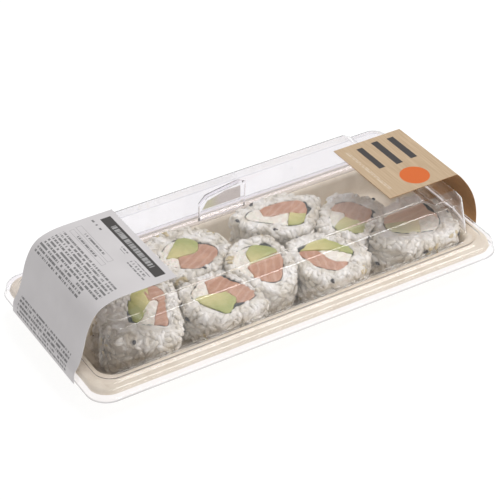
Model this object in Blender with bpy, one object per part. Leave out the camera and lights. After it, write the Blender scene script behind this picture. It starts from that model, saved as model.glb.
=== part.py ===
"""Takeaway sushi tray: a moulded pulp tray, eight inside-out rolls, a clear lid and two paper labels.

All lengths below are millimetres and angles are degrees; add_solid turns them into metres. The tray
stands on its flat base at the origin, with its length along X and its front towards -Y.
"""

import functools
import math
import random
from collections import namedtuple

import bmesh
import bpy

MM = 0.001
GAP = 0.3

# A ring is a rounded rectangle at one height. Tray and lid are skinned over stacks of rings, which run
# from the middle outwards along the exposed side.
Ring = namedtuple("Ring", "half_x half_y corner z")
CORNER_STEPS = 5

TRAY_DEPTH = 16.0
PULP = 1.2
INNER_BRIM = Ring(106.6, 41.2, 9.0, TRAY_DEPTH - 1.6)
TRAY_RINGS = [
    Ring(99.5, 33.6, 7.0, PULP),
    Ring(102.6, 36.9, 8.0, 2.1),
    Ring(104.0, 38.4, 8.5, 4.6),
    INNER_BRIM,
    Ring(107.4, 42.1, 9.0, TRAY_DEPTH - 0.5),
    Ring(108.6, 43.3, 9.2, TRAY_DEPTH),
    Ring(113.8, 49.6, 9.6, TRAY_DEPTH),
    Ring(114.9, 50.7, 10.0, TRAY_DEPTH - 0.5),
    Ring(115.4, 51.2, 10.2, TRAY_DEPTH - 2.8),
]

# The lid has a raised middle panel, and sloping steps down to its two lower ends.
PLASTIC = 0.5
FLANGE_Z = TRAY_DEPTH + GAP + PLASTIC
BEAD = 0.6
SKIRT_Z = 11.0
WALL_FOOT = Ring(107.3, 41.7, 8.4, FLANGE_Z + 1.0)
SHOULDER = Ring(103.8, 39.9, 8.0, 39.2)
END_TOP = Ring(101.0, 37.8, 7.0, 43.0)
LID_RINGS = [
    END_TOP,
    SHOULDER,
    WALL_FOOT,
    Ring(107.9, 42.4, 8.6, FLANGE_Z),
    Ring(109.4, 45.2, 9.0, FLANGE_Z),
    Ring(110.2, 46.0, 9.2, FLANGE_Z + BEAD),
    Ring(111.8, 47.6, 9.6, FLANGE_Z + BEAD),
    Ring(112.6, 48.4, 9.8, FLANGE_Z),
    Ring(115.9, 51.9, 10.2, FLANGE_Z),
    Ring(116.7, 52.7, 10.4, FLANGE_Z - 0.9),
    Ring(116.9, 53.4, 10.6, SKIRT_Z + 1.2),
    Ring(117.5, 54.2, 11.0, SKIRT_Z),
]
LID_TOP_Z = 47.0
PANEL_HALF_Y = 36.4
STEP_TOP_X = 78.0
STEP_FOOT_X = 84.0
SIDE_STATIONS = (-STEP_FOOT_X, -STEP_TOP_X, 0.0, STEP_TOP_X, STEP_FOOT_X)

# The hollow lug stands out from the lid's back wall. Its outline is in (x, z), and its face is smaller
# than its root.
LUG_OUTLINE = [(-8.4, 19.0), (20.0, 19.0), (20.0, 35.6), (17.6, 36.6), (-4.0, 33.5), (-8.4, 29.0)]
LUG_FACE_Y = 43.4
LUG_FACE_SCALE = 0.9
LUG_ROOT = 0.25
LUG_HOLLOW_ROOT = 2.0

# A label's path is in (x, z), along the middle of the paper's underside.
PAPER = 0.25
LABEL_Z = LID_TOP_Z + GAP
PATH_STEPS = 2
WHITE_SIDES = (-27.7, 37.9)
WHITE_SKEW = -4.5
WHITE_PATH = [
    (-59.2, LABEL_Z),
    (-76.0, LABEL_Z),
    (-90.0, LABEL_Z - 0.2),
    (-98.5, LABEL_Z - 1.9),
    (-103.0, LABEL_Z - 4.6),
    (-106.0, 39.0),
    (-108.9, 33.5),
    (-111.4, 26.5),
    (-114.2, 20.4),
    (-117.2, 16.2),
    (-117.9, 13.6),
    (-118.3, SKIRT_Z - 0.2),
]
KRAFT_SIDES = (-26.5, 24.7)
KRAFT_SKEW = 0.0
KRAFT_PATH = [
    (64.1, LABEL_Z),
    (84.0, LABEL_Z),
    (103.5, LABEL_Z),
    (106.3, LABEL_Z - 0.5),
    (110.3, 42.3),
    (114.0, 37.0),
    (117.2, 31.0),
    (119.4, 24.6),
    (120.6, 18.0),
    (120.9, SKIRT_Z + 0.6),
]

# A roll's x and y are where its centre lies at the top, lean_x and lean_y are how far that is from over its
# foot, and rice is how thick its rice is where nothing presses it. All its other places are measured from its
# centre, to half a millimetre: the corners of its core, anticlockwise, then the directions in which its nori
# lies folded inwards, and the junction where its three fillings meet. From there a seam runs out to the nori
# at the start of each filling's share, again anticlockwise.
Roll = namedtuple("Roll", "x y lean_x lean_y height rice core folds junction salmon avocado cheese")
ROLLS = [
    Roll(
        *(-66.4, -10.8, 6.0, -1.0, 20.4, 13.0),
        core=(
            (-14, -6), (-9.5, -11), (-4, -15), (1, -18), (6, -7),
            (11.5, 4), (11, 11), (7.5, 15.5), (0.5, 15), (-6.5, 8.5),
        ),
        folds=(200,),
        junction=(3, 4.5),
        salmon=((6, 0.5), (1, -6), (-5, -14.5)),
        avocado=((7.5, 15.5),),
        cheese=((-3, -3), (-11, -10)),
    ),
    Roll(
        *(-28.8, 16.3, -0.5, 1.0, 21.2, 11.5),
        core=(
            (-14.5, 3.5), (-14.5, -3.5), (-8, -11.5), (-0.5, -15), (9, -12),
            (14, -6.5), (13.5, 0.5), (9, 6), (4, 12), (-5, 11.5),
        ),
        folds=(15,),
        junction=(-6.5, -1.5),
        salmon=((-9.5, -9.5),),
        avocado=((2.5, -2.5), (5.5, -1), (9, 5.5)),
        cheese=((-12.5, 0.5), (-5, 7.5), (0, 12)),
    ),
    Roll(
        *(-31.0, -20.8, 0.0, -4.0, 20.6, 8.0),
        core=(
            (-14.5, 2), (-9.5, -10), (-5, -16), (1.5, -13), (10.5, -11.5), (15, -7.5),
            (11.5, 3), (9.5, 10.5), (4, 13), (-3, 12.5), (-12, 9),
        ),
        folds=(275, 40),
        junction=(-6, 2),
        salmon=((3, -1.5), (4, -7), (0, -13.5)),
        avocado=((-11, 3), (-14, 2.5)),
        cheese=((-3.5, 9.5), (-2.5, 12.5)),
    ),
    Roll(
        *(0.2, -9.6, 0.5, -2.0, 21.4, 8.0),
        core=(
            (-12.5, 9), (-15.5, 0), (-12.5, -9.5), (-7, -17), (-1.5, -18),
            (4.5, -11), (10, -1.5), (9, 11), (3, 13.5), (-6.5, 14),
        ),
        folds=(55,),
        junction=(-7, 1),
        salmon=((-10.5, -1.5), (-11, -8.5), (-12, -10.5)),
        avocado=((-3, 2), (7.5, 3), (10, 3)),
        cheese=((-5, 9.5), (-0.5, 13)),
    ),
    Roll(
        *(30.6, 21.6, -1.0, 1.6, 21.6, 8.0),
        core=(
            (-19, 2.5), (-10.5, -6.5), (-3.5, -13), (4, -14.5), (9, -9.5),
            (15.5, -4.5), (14, 3), (4.5, 7.5), (-9, 8.5), (-17, 8),
        ),
        folds=(345,),
        junction=(3, -3),
        salmon=((7.5, -7), (10.5, -8.5)),
        avocado=((-0.5, -7), (-4.5, -13)),
        cheese=((-9.5, 0), (-10.5, 1.5), (-9, 8.5)),
    ),
    Roll(
        *(31.4, -19.8, 0.5, -2.0, 20.8, 9.0),
        core=(
            (-12.5, 1), (-11.5, -6), (-6, -14), (-0.5, -15.5), (7, -10.5), (12, -6),
            (11, -0.5), (6, 9), (0, 12), (-8, 11.5), (-13.5, 7.5),
        ),
        folds=(130,),
        junction=(-3.5, 4.5),
        salmon=((-11.5, 8),),
        avocado=((4.5, -0.5), (8, -5), (10, -7.5)),
        cheese=((-2.5, -3), (-0.5, -8.5), (5.5, -12)),
    ),
    Roll(
        *(59.7, 0.3, 0.5, 1.0, 21.0, 9.0),
        core=(
            (-14, -4.5), (-10.5, -9.5), (-6, -15), (0, -14.5), (6, -9),
            (12.5, -4.5), (9, 7.5), (5, 12), (-2.5, 13), (-10, 6),
        ),
        folds=(330,),
        junction=(-3.5, 1),
        salmon=((-1.5, -3.5), (2.5, -8.5), (5, -10)),
        avocado=((-7.5, -0.5), (-11.5, -3), (-14, -4.5)),
        cheese=((-1.5, 4), (-5, 8), (-6, 10)),
    ),
    Roll(
        *(85.6, -17.0, 3.0, -0.5, 20.4, 11.0),
        core=(
            (-15.5, 3), (-16, -3), (-10.5, -9), (0, -13.5), (6, -14),
            (12.5, -7.5), (14.5, 4.5), (11.5, 8.5), (0, 9), (-11, 8),
        ),
        folds=(10,),
        junction=(2, -3),
        salmon=((9.5, -3.5), (13, -5.5)),
        avocado=((-8, 0.5), (-15.5, 3)),
        cheese=((0, -7), (-3, -12)),
    ),
]
ROLL_FOOT_Z = PULP + GAP
ROLL_COLUMNS = 36
CAVITY_HALF_Y = 40.3
NORI = 0.6
FOLD_DEPTH = 2.0
FOLD_SPREAD = 24.0
SHARPEST_TIP = 0.15
LEAST_SPACING = 0.3
FURTHEST_SHARE = 2.0
SHARE_ACCURACY = 0.001
LEAST_RICE = 0.8
GRAIN_RELIEF = 1.5
PRESS_SHARPNESS = 10
LEAST_FACING = 0.05

# The section of a roll's rice runs from the foot of its hole, round the outside, to the top of the hole:
# the share of the way from the hole to the outside, the share of the height, and how much of the grain
# relief goes inwards and up.
RICE_SECTION = [
    (0.00, 0.00, 0.0, 0.0),
    (0.82, 0.00, 0.0, 0.0),
    (0.97, 0.12, 0.6, 0.3),
    (1.00, 0.32, 1.0, 0.4),
    (1.00, 0.54, 1.0, 0.4),
    (1.00, 0.76, 1.0, 0.4),
    (0.92, 0.95, 0.9, 0.6),
    (0.62, 1.03, 0.3, 0.8),
    (0.30, 1.02, 0.0, 0.7),
    (0.00, 0.98, 0.0, 0.0),
]

# Each filling's colour, and how far it stands above or below the rim of its roll
FILLINGS = {
    "salmon": ((0.80, 0.33, 0.20), 0.2),
    "avocado": ((0.55, 0.60, 0.18), 0.5),
    "cheese": ((0.90, 0.88, 0.80), -0.2),
}
PULP_COLOUR = (0.62, 0.52, 0.41)
PLASTIC_COLOUR = (0.95, 0.96, 0.97)
WHITE_COLOUR = (0.74, 0.73, 0.74)
KRAFT_COLOUR = (0.56, 0.41, 0.26)
RICE_COLOUR = (0.80, 0.79, 0.74)
NORI_COLOUR = (0.02, 0.03, 0.025)


def clear_scene():
    for item in list(bpy.data.objects):
        bpy.data.objects.remove(item, do_unlink=True)


def material(name, colour, roughness, transmission=0.0):
    made = bpy.data.materials.new(name)
    made.use_nodes = True
    shader = made.node_tree.nodes["Principled BSDF"]
    shader.inputs["Base Color"].default_value = (*colour, 1.0)
    shader.inputs["Roughness"].default_value = roughness
    shader.inputs["Metallic"].default_value = 0.0
    shader.inputs["Transmission Weight"].default_value = transmission
    made.diffuse_color = (*colour, 1.0)
    return made


def add_solid(name, points, faces, surface, sharp_angle=40):
    """A closed solid from points in millimetres, its faces turned outwards and its round parts smooth."""
    mesh = bpy.data.meshes.new(name)
    mesh.from_pydata([[value * MM for value in point] for point in points], [], faces)
    edited = bmesh.new()
    edited.from_mesh(mesh)
    bmesh.ops.recalc_face_normals(edited, faces=edited.faces)
    edited.to_mesh(mesh)
    edited.free()
    mesh.shade_smooth()
    mesh.set_sharp_from_angle(angle=math.radians(sharp_angle))
    mesh.materials.append(surface)
    made = bpy.data.objects.new(name, mesh)
    bpy.context.scene.collection.objects.link(made)
    return made


def skin(loops, capped=True):
    """Quads between successive loops of equally many points. The ends are capped, or else join up."""
    count = len(loops[0])
    points = [point for loop in loops for point in loop]
    faces = []
    for row in range(len(loops) - 1 if capped else len(loops)):
        base = row * count
        above = (row + 1) % len(loops) * count
        for column in range(count):
            beside = (column + 1) % count
            faces.append((base + column, base + beside, above + beside, above + column))
    if capped:
        for base in (0, len(points) - count):
            for step in range(count // 2 - 1):
                far = base + count - 1 - step
                faces.append((base + step, base + step + 1, far - 1, far))
    return points, faces


def direction(angle):
    return math.cos(math.radians(angle)), math.sin(math.radians(angle))


def ring_points(ring):
    """The ring's points: its front half from left to right, then its back half from right to left."""
    straight_x = ring.half_x - ring.corner
    straight_y = ring.half_y - ring.corner
    corners = []
    for side, start in ((-1, 180), (1, 270)):
        corner = []
        for step in range(CORNER_STEPS + 1):
            along, across = direction(start + 90 * step / CORNER_STEPS)
            x = side * straight_x + ring.corner * along
            corner.append((x, ring.corner * across - straight_y, ring.z))
        corners.append(corner)
    front = corners[0] + [(x, -ring.half_y, ring.z) for x in SIDE_STATIONS] + corners[1]
    return front + [(x, -y, z) for x, y, z in reversed(front)]


def unit(along, up):
    length = math.hypot(along, up)
    return along / length, up / length


def inner_rings(rings, thickness):
    """The rings moved from the exposed side through the wall, square to the line of its section."""
    flat_lead = rings[0]._replace(half_y=rings[0].half_y - 1)
    moved = []
    for index, ring in enumerate(rings):
        before = rings[index - 1] if index else flat_lead
        after = rings[min(index + 1, len(rings) - 1)]
        arriving = unit(ring.half_y - before.half_y, ring.z - before.z)
        leaving = unit(after.half_y - ring.half_y, after.z - ring.z) if after != ring else arriving
        along, up = unit(arriving[0] + leaving[0], arriving[1] + leaving[1])
        mitre = thickness / (along * arriving[0] + up * arriving[1])
        out = up * mitre
        level = ring.z - along * mitre
        moved.append(Ring(ring.half_x + out, ring.half_y + out, ring.corner + out, level))
    return moved


def build_tray():
    backs = inner_rings(TRAY_RINGS, PULP)
    loops = [ring_points(ring) for ring in TRAY_RINGS + backs[::-1]]
    add_solid("tray", *skin(loops), material("tray_pulp", PULP_COLOUR, 0.85))


def raise_panel(points):
    """The top edge of the lid, lifted to the middle panel between the two steps."""
    raised = []
    for x, y, z in points:
        share = (STEP_FOOT_X - abs(x)) / (STEP_FOOT_X - STEP_TOP_X)
        share = min(max(share, 0.0), 1.0)
        inwards = (END_TOP.half_y - PANEL_HALF_Y) * share
        raised.append((x, y - math.copysign(inwards, y), z + (LID_TOP_Z - END_TOP.z) * share))
    return raised


def wall_y(z):
    """Where the outside of the lid's long wall stands at a height."""
    share = (z - WALL_FOOT.z) / (SHOULDER.z - WALL_FOOT.z)
    return WALL_FOOT.half_y + (SHOULDER.half_y - WALL_FOOT.half_y) * share


def lug_block(name, shrink, root_depth, face_y):
    """The lug's block, or its smaller hollow, rooted at a depth under the outside of the wall."""
    middle_x = sum(x for x, z in LUG_OUTLINE) / len(LUG_OUTLINE)
    middle_z = sum(z for x, z in LUG_OUTLINE) / len(LUG_OUTLINE)
    loops = []
    for scale, at_face in ((1.0, False), (LUG_FACE_SCALE, True)):
        loop = []
        for x, z in LUG_OUTLINE:
            wide = (x - middle_x) * scale
            high = (z - middle_z) * scale
            wide -= math.copysign(shrink, wide)
            high -= math.copysign(shrink, high)
            across = face_y if at_face else wall_y(middle_z + high) - root_depth
            loop.append((middle_x + wide, across, middle_z + high))
        loops.append(loop)
    made = add_solid(name, *skin(loops), material(name, PLASTIC_COLOUR, 0.1))
    made.hide_render = True
    made.display_type = "WIRE"
    return made


def boolean(target, tool, operation):
    step = target.modifiers.new(tool.name, "BOOLEAN")
    step.operation = operation
    step.object = tool


def build_lid():
    backs = inner_rings(LID_RINGS, PLASTIC)
    loops = [ring_points(ring) for ring in LID_RINGS + backs[::-1]]
    loops[0] = raise_panel(loops[0])
    loops[-1] = raise_panel(loops[-1])
    clear = material("lid_plastic", PLASTIC_COLOUR, 0.05, transmission=1.0)
    lid = add_solid("lid", *skin(loops), clear)
    boolean(lid, lug_block("lug_outside", 0.0, LUG_ROOT, LUG_FACE_Y), "UNION")
    boolean(lid, lug_block("lug_hollow", PLASTIC, LUG_HOLLOW_ROOT, LUG_FACE_Y - PLASTIC), "DIFFERENCE")


def curve_value(before, start, end, after, share):
    """One coordinate at a share of the way from start to end, on a smooth curve through all four."""
    slope = (end - before) / 2
    bend = (2 * before - 5 * start + 4 * end - after) / 2
    twist = (3 * start - before - 3 * end + after) / 2
    return start + share * (slope + share * (bend + share * twist))


def smooth_path(corners):
    """Points along a smooth curve from the second corner to the last but one, PATH_STEPS to each leg."""
    path = []
    for four in zip(corners, corners[1:], corners[2:], corners[3:]):
        for step in range(PATH_STEPS):
            path.append(tuple(curve_value(*values, step / PATH_STEPS) for values in zip(*four)))
    return path + [corners[-2]]


def build_label(name, corners, sides, skew, surface):
    """A strip of paper along a path, its sides drifting by the skew as it comes down to the skirt."""
    path = smooth_path([corners[0], *corners, corners[-1]])
    towards_end = math.copysign(1.0, corners[-1][0])
    loops = []
    for index, (x, z) in enumerate(path):
        before = path[max(index - 1, 0)]
        after = path[min(index + 1, len(path) - 1)]
        along, up = unit(after[0] - before[0], after[1] - before[1])
        drift = skew * (LABEL_Z - z) / (LABEL_Z - SKIRT_Z)
        front, back = (side + drift for side in sides)
        outer_x, outer_z = x - up * towards_end * PAPER, z + along * towards_end * PAPER
        loops.append([(x, front, z), (x, back, z), (outer_x, back, outer_z), (outer_x, front, outer_z)])
    add_solid(name, *skin(loops), surface)


@functools.lru_cache(maxsize=None)
def core_radii(roll):
    """How far the nori's outside lies from the roll's centre, in even steps all the way round."""
    around = smooth_path([roll.core[-1], *roll.core, *roll.core[:2]])[:-1]
    polar = sorted((math.degrees(math.atan2(y, x)) % 360, math.hypot(x, y)) for x, y in around)
    polar = [(polar[-1][0] - 360, polar[-1][1]), *polar, (polar[0][0] + 360, polar[0][1])]
    radii = []
    for column in range(ROLL_COLUMNS):
        angle = 360 * column / ROLL_COLUMNS
        for (before, near), (after, far) in zip(polar, polar[1:]):
            if before <= angle < after:
                radii.append(near + (far - near) * (angle - before) / (after - before))
                break
    return radii


def between_columns(radii, angle):
    """How far the straight line between two columns lies from the centre, in a direction between them."""
    place = angle % 360 * ROLL_COLUMNS / 360
    column = int(place)
    past = 360 * (place - column) / ROLL_COLUMNS
    left = 360 / ROLL_COLUMNS - past
    near = radii[column % ROLL_COLUMNS]
    far = radii[(column + 1) % ROLL_COLUMNS]
    return near * far * direction(past + left)[1] / (near * direction(past)[1] + far * direction(left)[1])


def core_radius(roll, angle):
    """How far the outside of the nori lies from the roll's centre in a direction."""
    return between_columns(core_radii(roll), angle)


@functools.lru_cache(maxsize=None)
def lining_radii(roll):
    """How far the nori's inside, folds and all, lies from the centre, in even steps all the way round."""
    radii = []
    for column, radius in enumerate(core_radii(roll)):
        angle = 360 * column / ROLL_COLUMNS
        aside = min(abs((angle - fold + 180) % 360 - 180) for fold in roll.folds)
        radii.append(radius - NORI - FOLD_DEPTH * max(1 - aside / FOLD_SPREAD, 0.0))
    return radii


def centre(roll, z):
    """Where the middle of a roll's core stands at a height."""
    below_top = 1 - (z - ROLL_FOOT_Z) / roll.height
    return roll.x - roll.lean_x * below_top, roll.y - roll.lean_y * below_top


def placed_loop(roll, radii, z):
    """A loop round the roll at a height, through the given distances from its centre."""
    middle_x, middle_y = centre(roll, z)
    loop = []
    for column, radius in enumerate(radii):
        along, across = direction(360 * column / ROLL_COLUMNS)
        loop.append((middle_x + radius * along, middle_y + radius * across, z))
    return loop


def build_nori(number, roll):
    top = ROLL_FOOT_Z + roll.height
    outside = core_radii(roll)
    inside = lining_radii(roll)
    loops = [
        placed_loop(roll, radii, z)
        for radii, z in ((outside, ROLL_FOOT_Z), (outside, top), (inside, top), (inside, ROLL_FOOT_Z))
    ]
    add_solid(f"nori_{number}", *skin(loops, capped=False), material(f"nori_{number}", NORI_COLOUR, 0.5))


def seam(roll, filling):
    """The seam at the start of a filling's share: its corners, the last of them on the nori's lining."""
    *bends, end = (roll.junction, *getattr(roll, filling))
    start = bends[-1]
    near, far = 0.0, FURTHEST_SHARE
    while far - near > SHARE_ACCURACY:
        share = (near + far) / 2
        x, y = (a + (b - a) * share for a, b in zip(start, end))
        lining = between_columns(lining_radii(roll), math.degrees(math.atan2(y, x)))
        if math.hypot(x, y) < lining - GAP / 2:
            near = share
        else:
            far = share
    return [*bends, (x, y)]


def inset(outline, margin):
    """An anticlockwise outline, moved inwards by a margin all round."""
    moved = []
    for before, here, after in zip(outline[-1:] + outline, outline, outline[1:] + outline[:1]):
        arriving = unit(here[0] - before[0], here[1] - before[1])
        leaving = unit(after[0] - here[0], after[1] - here[1])
        along, across = unit(arriving[0] + leaving[0], arriving[1] + leaving[1])
        mitre = margin / max(along * arriving[0] + across * arriving[1], SHARPEST_TIP)
        moved.append((here[0] - across * mitre, here[1] + along * mitre))
    return moved


def filling_outline(roll, filling):
    """A filling's share of the core: out along its seam, round the nori, and back along the next seam."""
    seams = {name: seam(roll, name) for name in FILLINGS}
    ends = {name: math.degrees(math.atan2(path[-1][1], path[-1][0])) for name, path in seams.items()}
    spreads = {name: (ends[name] - ends[filling]) % 360 for name in FILLINGS if name != filling}
    following = min(spreads, key=spreads.get)
    step = 360 / ROLL_COLUMNS
    first = math.ceil(ends[filling] / step + LEAST_SPACING)
    last = math.floor((ends[filling] + spreads[following]) / step - LEAST_SPACING)
    outline = list(seams[filling])
    for column in range(first, last + 1):
        radius = lining_radii(roll)[column % ROLL_COLUMNS] - GAP / 2
        along, across = direction(column * step)
        outline.append((radius * along, radius * across))
    outline += seams[following][:0:-1]
    return inset(outline, GAP / 2)


def build_filling(number, roll, filling):
    colour, proud = FILLINGS[filling]
    outline = filling_outline(roll, filling)
    count = len(outline)
    points = []
    for z in (ROLL_FOOT_Z, ROLL_FOOT_Z + roll.height + proud):
        middle_x, middle_y = centre(roll, z)
        points += [(middle_x + x, middle_y + y, z) for x, y in outline]
    faces = [tuple(range(count)), tuple(range(count, 2 * count))]
    faces += [(i, (i + 1) % count, count + (i + 1) % count, count + i) for i in range(count)]
    name = f"{filling}_{number}"
    add_solid(name, points, faces, material(name, colour, 0.4))


def cavity_halves(z):
    """Half the length and half the width of the room inside the tray and lid at a height."""
    for below, above in zip(TRAY_RINGS, TRAY_RINGS[1:]):
        if z <= above.z:
            share = (z - below.z) / (above.z - below.z)
            half_x = below.half_x + (above.half_x - below.half_x) * share
            half_y = below.half_y + (above.half_y - below.half_y) * share
            return half_x - GAP, min(half_y - GAP, CAVITY_HALF_Y)
    return INNER_BRIM.half_x - GAP, CAVITY_HALF_Y


@functools.lru_cache(maxsize=None)
def meeting_planes(roll):
    """Where the roll's rice meets each other roll's at the top, as (other roll, direction, distance).

    The plane lies halfway between the two places on their nori that are closest to each other.
    """
    mine = placed_loop(roll, core_radii(roll), ROLL_FOOT_Z + roll.height)
    planes = []
    for other in ROLLS:
        if other is roll:
            continue
        theirs = placed_loop(other, core_radii(other), ROLL_FOOT_Z + other.height)
        pairs = [(math.dist(here[:2], there[:2]), here, there) for here in mine for there in theirs]
        here, there = min(pairs)[1:]
        facing = math.degrees(math.atan2(there[1] - here[1], there[0] - here[0]))
        along, across = direction(facing)
        halfway_x = (here[0] + there[0]) / 2 - roll.x
        halfway_y = (here[1] + there[1]) / 2 - roll.y
        planes.append((other, facing, halfway_x * along + halfway_y * across))
    return planes


def press_limits(roll, z):
    """The flat sides that neighbours and walls press into a roll, as (direction, distance) pairs."""
    middle_x, middle_y = centre(roll, z)
    half_x, half_y = cavity_halves(z)
    limits = [(0, half_x - middle_x), (180, half_x + middle_x)]
    limits += [(90, half_y - middle_y), (270, half_y + middle_y)]
    below_top = 1 - (z - ROLL_FOOT_Z) / roll.height
    for other, facing, distance in meeting_planes(roll):
        along, across = direction(facing)
        parting = (roll.lean_x - other.lean_x) * along + (roll.lean_y - other.lean_y) * across
        limits.append((facing, distance + parting * below_top / 2 - GAP))
    return limits


def rice_radius(roll, angle, limits):
    """How far the rice reaches in a direction: its own outline, flattened where something presses it."""
    core = core_radius(roll, angle)
    total = (core + roll.rice) ** -PRESS_SHARPNESS
    for facing, distance in limits:
        towards = direction(angle - facing)[0]
        if towards > LEAST_FACING:
            total += (distance / towards) ** -PRESS_SHARPNESS
    return max(total ** (-1 / PRESS_SHARPNESS), core + GAP + LEAST_RICE)


def build_rice(number, roll):
    """The rice round a roll's nori: a ring with flat foot and bumps the size of its grains."""
    chance = random.Random(number)
    loops = []
    for outwards, height, relief_in, relief_up in RICE_SECTION:
        z = ROLL_FOOT_Z + roll.height * height
        middle_x, middle_y = centre(roll, z)
        limits = press_limits(roll, z)
        loop = []
        for column in range(ROLL_COLUMNS):
            angle = 360 * column / ROLL_COLUMNS
            hole = core_radius(roll, angle) + GAP
            thickness = (rice_radius(roll, angle, limits) - hole) * outwards
            dent = min(GRAIN_RELIEF, thickness / 2) * relief_in * chance.random()
            radius = hole + thickness - dent
            along, across = direction(angle)
            bump = GRAIN_RELIEF * relief_up * (chance.random() - 0.5)
            loop.append((middle_x + radius * along, middle_y + radius * across, z + bump))
        loops.append(loop)
    name = f"rice_{number}"
    add_solid(name, *skin(loops, capped=False), material(name, RICE_COLOUR, 0.6), sharp_angle=60)


def main():
    clear_scene()
    build_tray()
    build_lid()
    white = material("white_paper", WHITE_COLOUR, 0.6)
    build_label("label_white", WHITE_PATH, WHITE_SIDES, WHITE_SKEW, white)
    kraft = material("kraft_paper", KRAFT_COLOUR, 0.8)
    build_label("label_kraft", KRAFT_PATH, KRAFT_SIDES, KRAFT_SKEW, kraft)
    for number, roll in enumerate(ROLLS, start=1):
        build_rice(number, roll)
        build_nori(number, roll)
        for filling in FILLINGS:
            build_filling(number, roll, filling)


main()
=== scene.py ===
"""Takeaway sushi tray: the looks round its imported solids.

Lengths in the tables are millimetres and angles are degrees. The tray's flat base is at the origin, its
length lies along X and its front faces -Y. add_piece turns the millimetres into metres.
"""

import functools
import math
import random
from collections import namedtuple

import bmesh
import bpy
from mathutils import Matrix, Vector, noise


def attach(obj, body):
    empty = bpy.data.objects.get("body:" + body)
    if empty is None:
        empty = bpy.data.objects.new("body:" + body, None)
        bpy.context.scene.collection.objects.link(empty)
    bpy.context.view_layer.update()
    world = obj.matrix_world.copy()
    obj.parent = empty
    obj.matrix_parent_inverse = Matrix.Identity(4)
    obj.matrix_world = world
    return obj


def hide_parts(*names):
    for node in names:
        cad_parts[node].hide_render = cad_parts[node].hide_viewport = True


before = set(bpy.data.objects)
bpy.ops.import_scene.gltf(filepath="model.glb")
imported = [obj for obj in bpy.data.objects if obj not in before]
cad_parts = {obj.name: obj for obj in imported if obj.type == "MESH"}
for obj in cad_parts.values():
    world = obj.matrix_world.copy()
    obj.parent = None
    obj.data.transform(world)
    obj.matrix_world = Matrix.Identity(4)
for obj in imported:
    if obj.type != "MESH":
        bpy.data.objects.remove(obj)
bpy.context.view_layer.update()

MM = 0.001
GAP = 0.3
BODY = "root"

# The camera that the photograph was taken with, and the studio, whose places and sizes are metres
CAMERA_PLACE = (-0.38463, -0.62450, 0.55404)
CAMERA_BACK = (-0.42328, -0.69089, 0.58609)
CAMERA_LENS = 129.35
SENSOR = 36.0
FURTHEST_SEEN = 20.0
Softbox = namedtuple("Softbox", "place aim width depth radiance")
SOFTBOXES = {
    "overhead_softbox": Softbox((0.45, 0.1, 1.0), (0.0, 0.0, 0.0), 0.6, 0.6, 5.6),
    "front_fill": Softbox((0.5, -0.9, 0.55), (0.0, 0.0, 0.0), 0.5, 0.5, 1.4),
    "low_strip": Softbox((0.44, -0.95, 0.03), (0.0, 0.0, 0.03), 0.8, 0.05, 9.0),
}
WHITE = (1.0, 1.0, 1.0, 1.0)
WORLD_LIGHT = 0.6
FLOOR_REACH = 4.0
FLOOR_LEVEL = -0.0001
FLOOR_COLOUR = (0.2, 0.2, 0.2, 1.0)
FLOOR_GLOW = 0.86
BOUNCES = 24
CLEAR_BOUNCES = 40

# The contrast of the spots that make a surface uneven to the light
RELIEF_CONTRAST = (0.2, 0.8)

# A ring is a rounded rectangle at one height, and lift says how much of the middle panel's rise it takes.
Ring = namedtuple("Ring", "half_x half_y corner z lift", defaults=(0.0,))
CORNER_STEPS = 14

TRAY_DEPTH = 16.0
PULP = 1.2
INNER_BRIM = Ring(106.6, 41.2, 9.0, TRAY_DEPTH - 1.6)
TRAY_RINGS = [
    Ring(99.5, 33.6, 7.0, PULP),
    Ring(102.6, 36.9, 8.0, 2.1),
    Ring(104.0, 38.4, 8.5, 4.6),
    INNER_BRIM,
    Ring(107.4, 42.1, 9.0, TRAY_DEPTH - 0.5),
    Ring(108.6, 43.3, 9.2, TRAY_DEPTH),
    Ring(113.8, 49.6, 9.6, TRAY_DEPTH),
    Ring(114.9, 50.7, 10.0, TRAY_DEPTH - 0.5),
    Ring(115.4, 51.2, 10.2, TRAY_DEPTH - 2.8),
]
TRAY_SOFTNESS = 1.1
TRAY_STATIONS = [12.0 * step for step in range(-7, 8)]
PULP_UNEVENNESS = 0.14
PULP_LUMP = 7.0
UNEVENNESS_SEED = 1

PLASTIC = 0.5
FLANGE_Z = TRAY_DEPTH + GAP + PLASTIC
BEAD = 0.6
SKIRT_Z = 11.0
WALL_FOOT = Ring(107.3, 41.7, 8.4, FLANGE_Z + 1.0)
SHOULDER = Ring(103.8, 39.9, 8.0, 39.2)
END_TOP = Ring(101.0, 37.8, 7.0, 43.0, 1.0)
PANEL_LEAD = Ring(98.6, 35.4, 5.6, 43.0, 1.0)
LID_RINGS = [
    PANEL_LEAD,
    END_TOP,
    SHOULDER,
    WALL_FOOT,
    Ring(107.9, 42.4, 8.6, FLANGE_Z),
    Ring(109.4, 45.2, 9.0, FLANGE_Z),
    Ring(110.2, 46.0, 9.2, FLANGE_Z + BEAD),
    Ring(111.8, 47.6, 9.6, FLANGE_Z + BEAD),
    Ring(112.6, 48.4, 9.8, FLANGE_Z),
    Ring(115.9, 51.9, 10.2, FLANGE_Z),
    Ring(116.7, 52.7, 10.4, FLANGE_Z - 0.9),
    Ring(116.9, 53.4, 10.6, SKIRT_Z + 1.2),
    Ring(117.5, 54.2, 11.0, SKIRT_Z),
]
LID_SOFTNESS = 0.9
LID_CREASE = 50
FURTHEST_BEND = 0.48
FILLET_STEPS = 5
LID_TOP_Z = 47.0
PANEL_HALF_Y = 36.4
STEP_TOP_X = 78.0
STEP_FOOT_X = 84.0
STEP_SOFTNESS = 0.12
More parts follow.
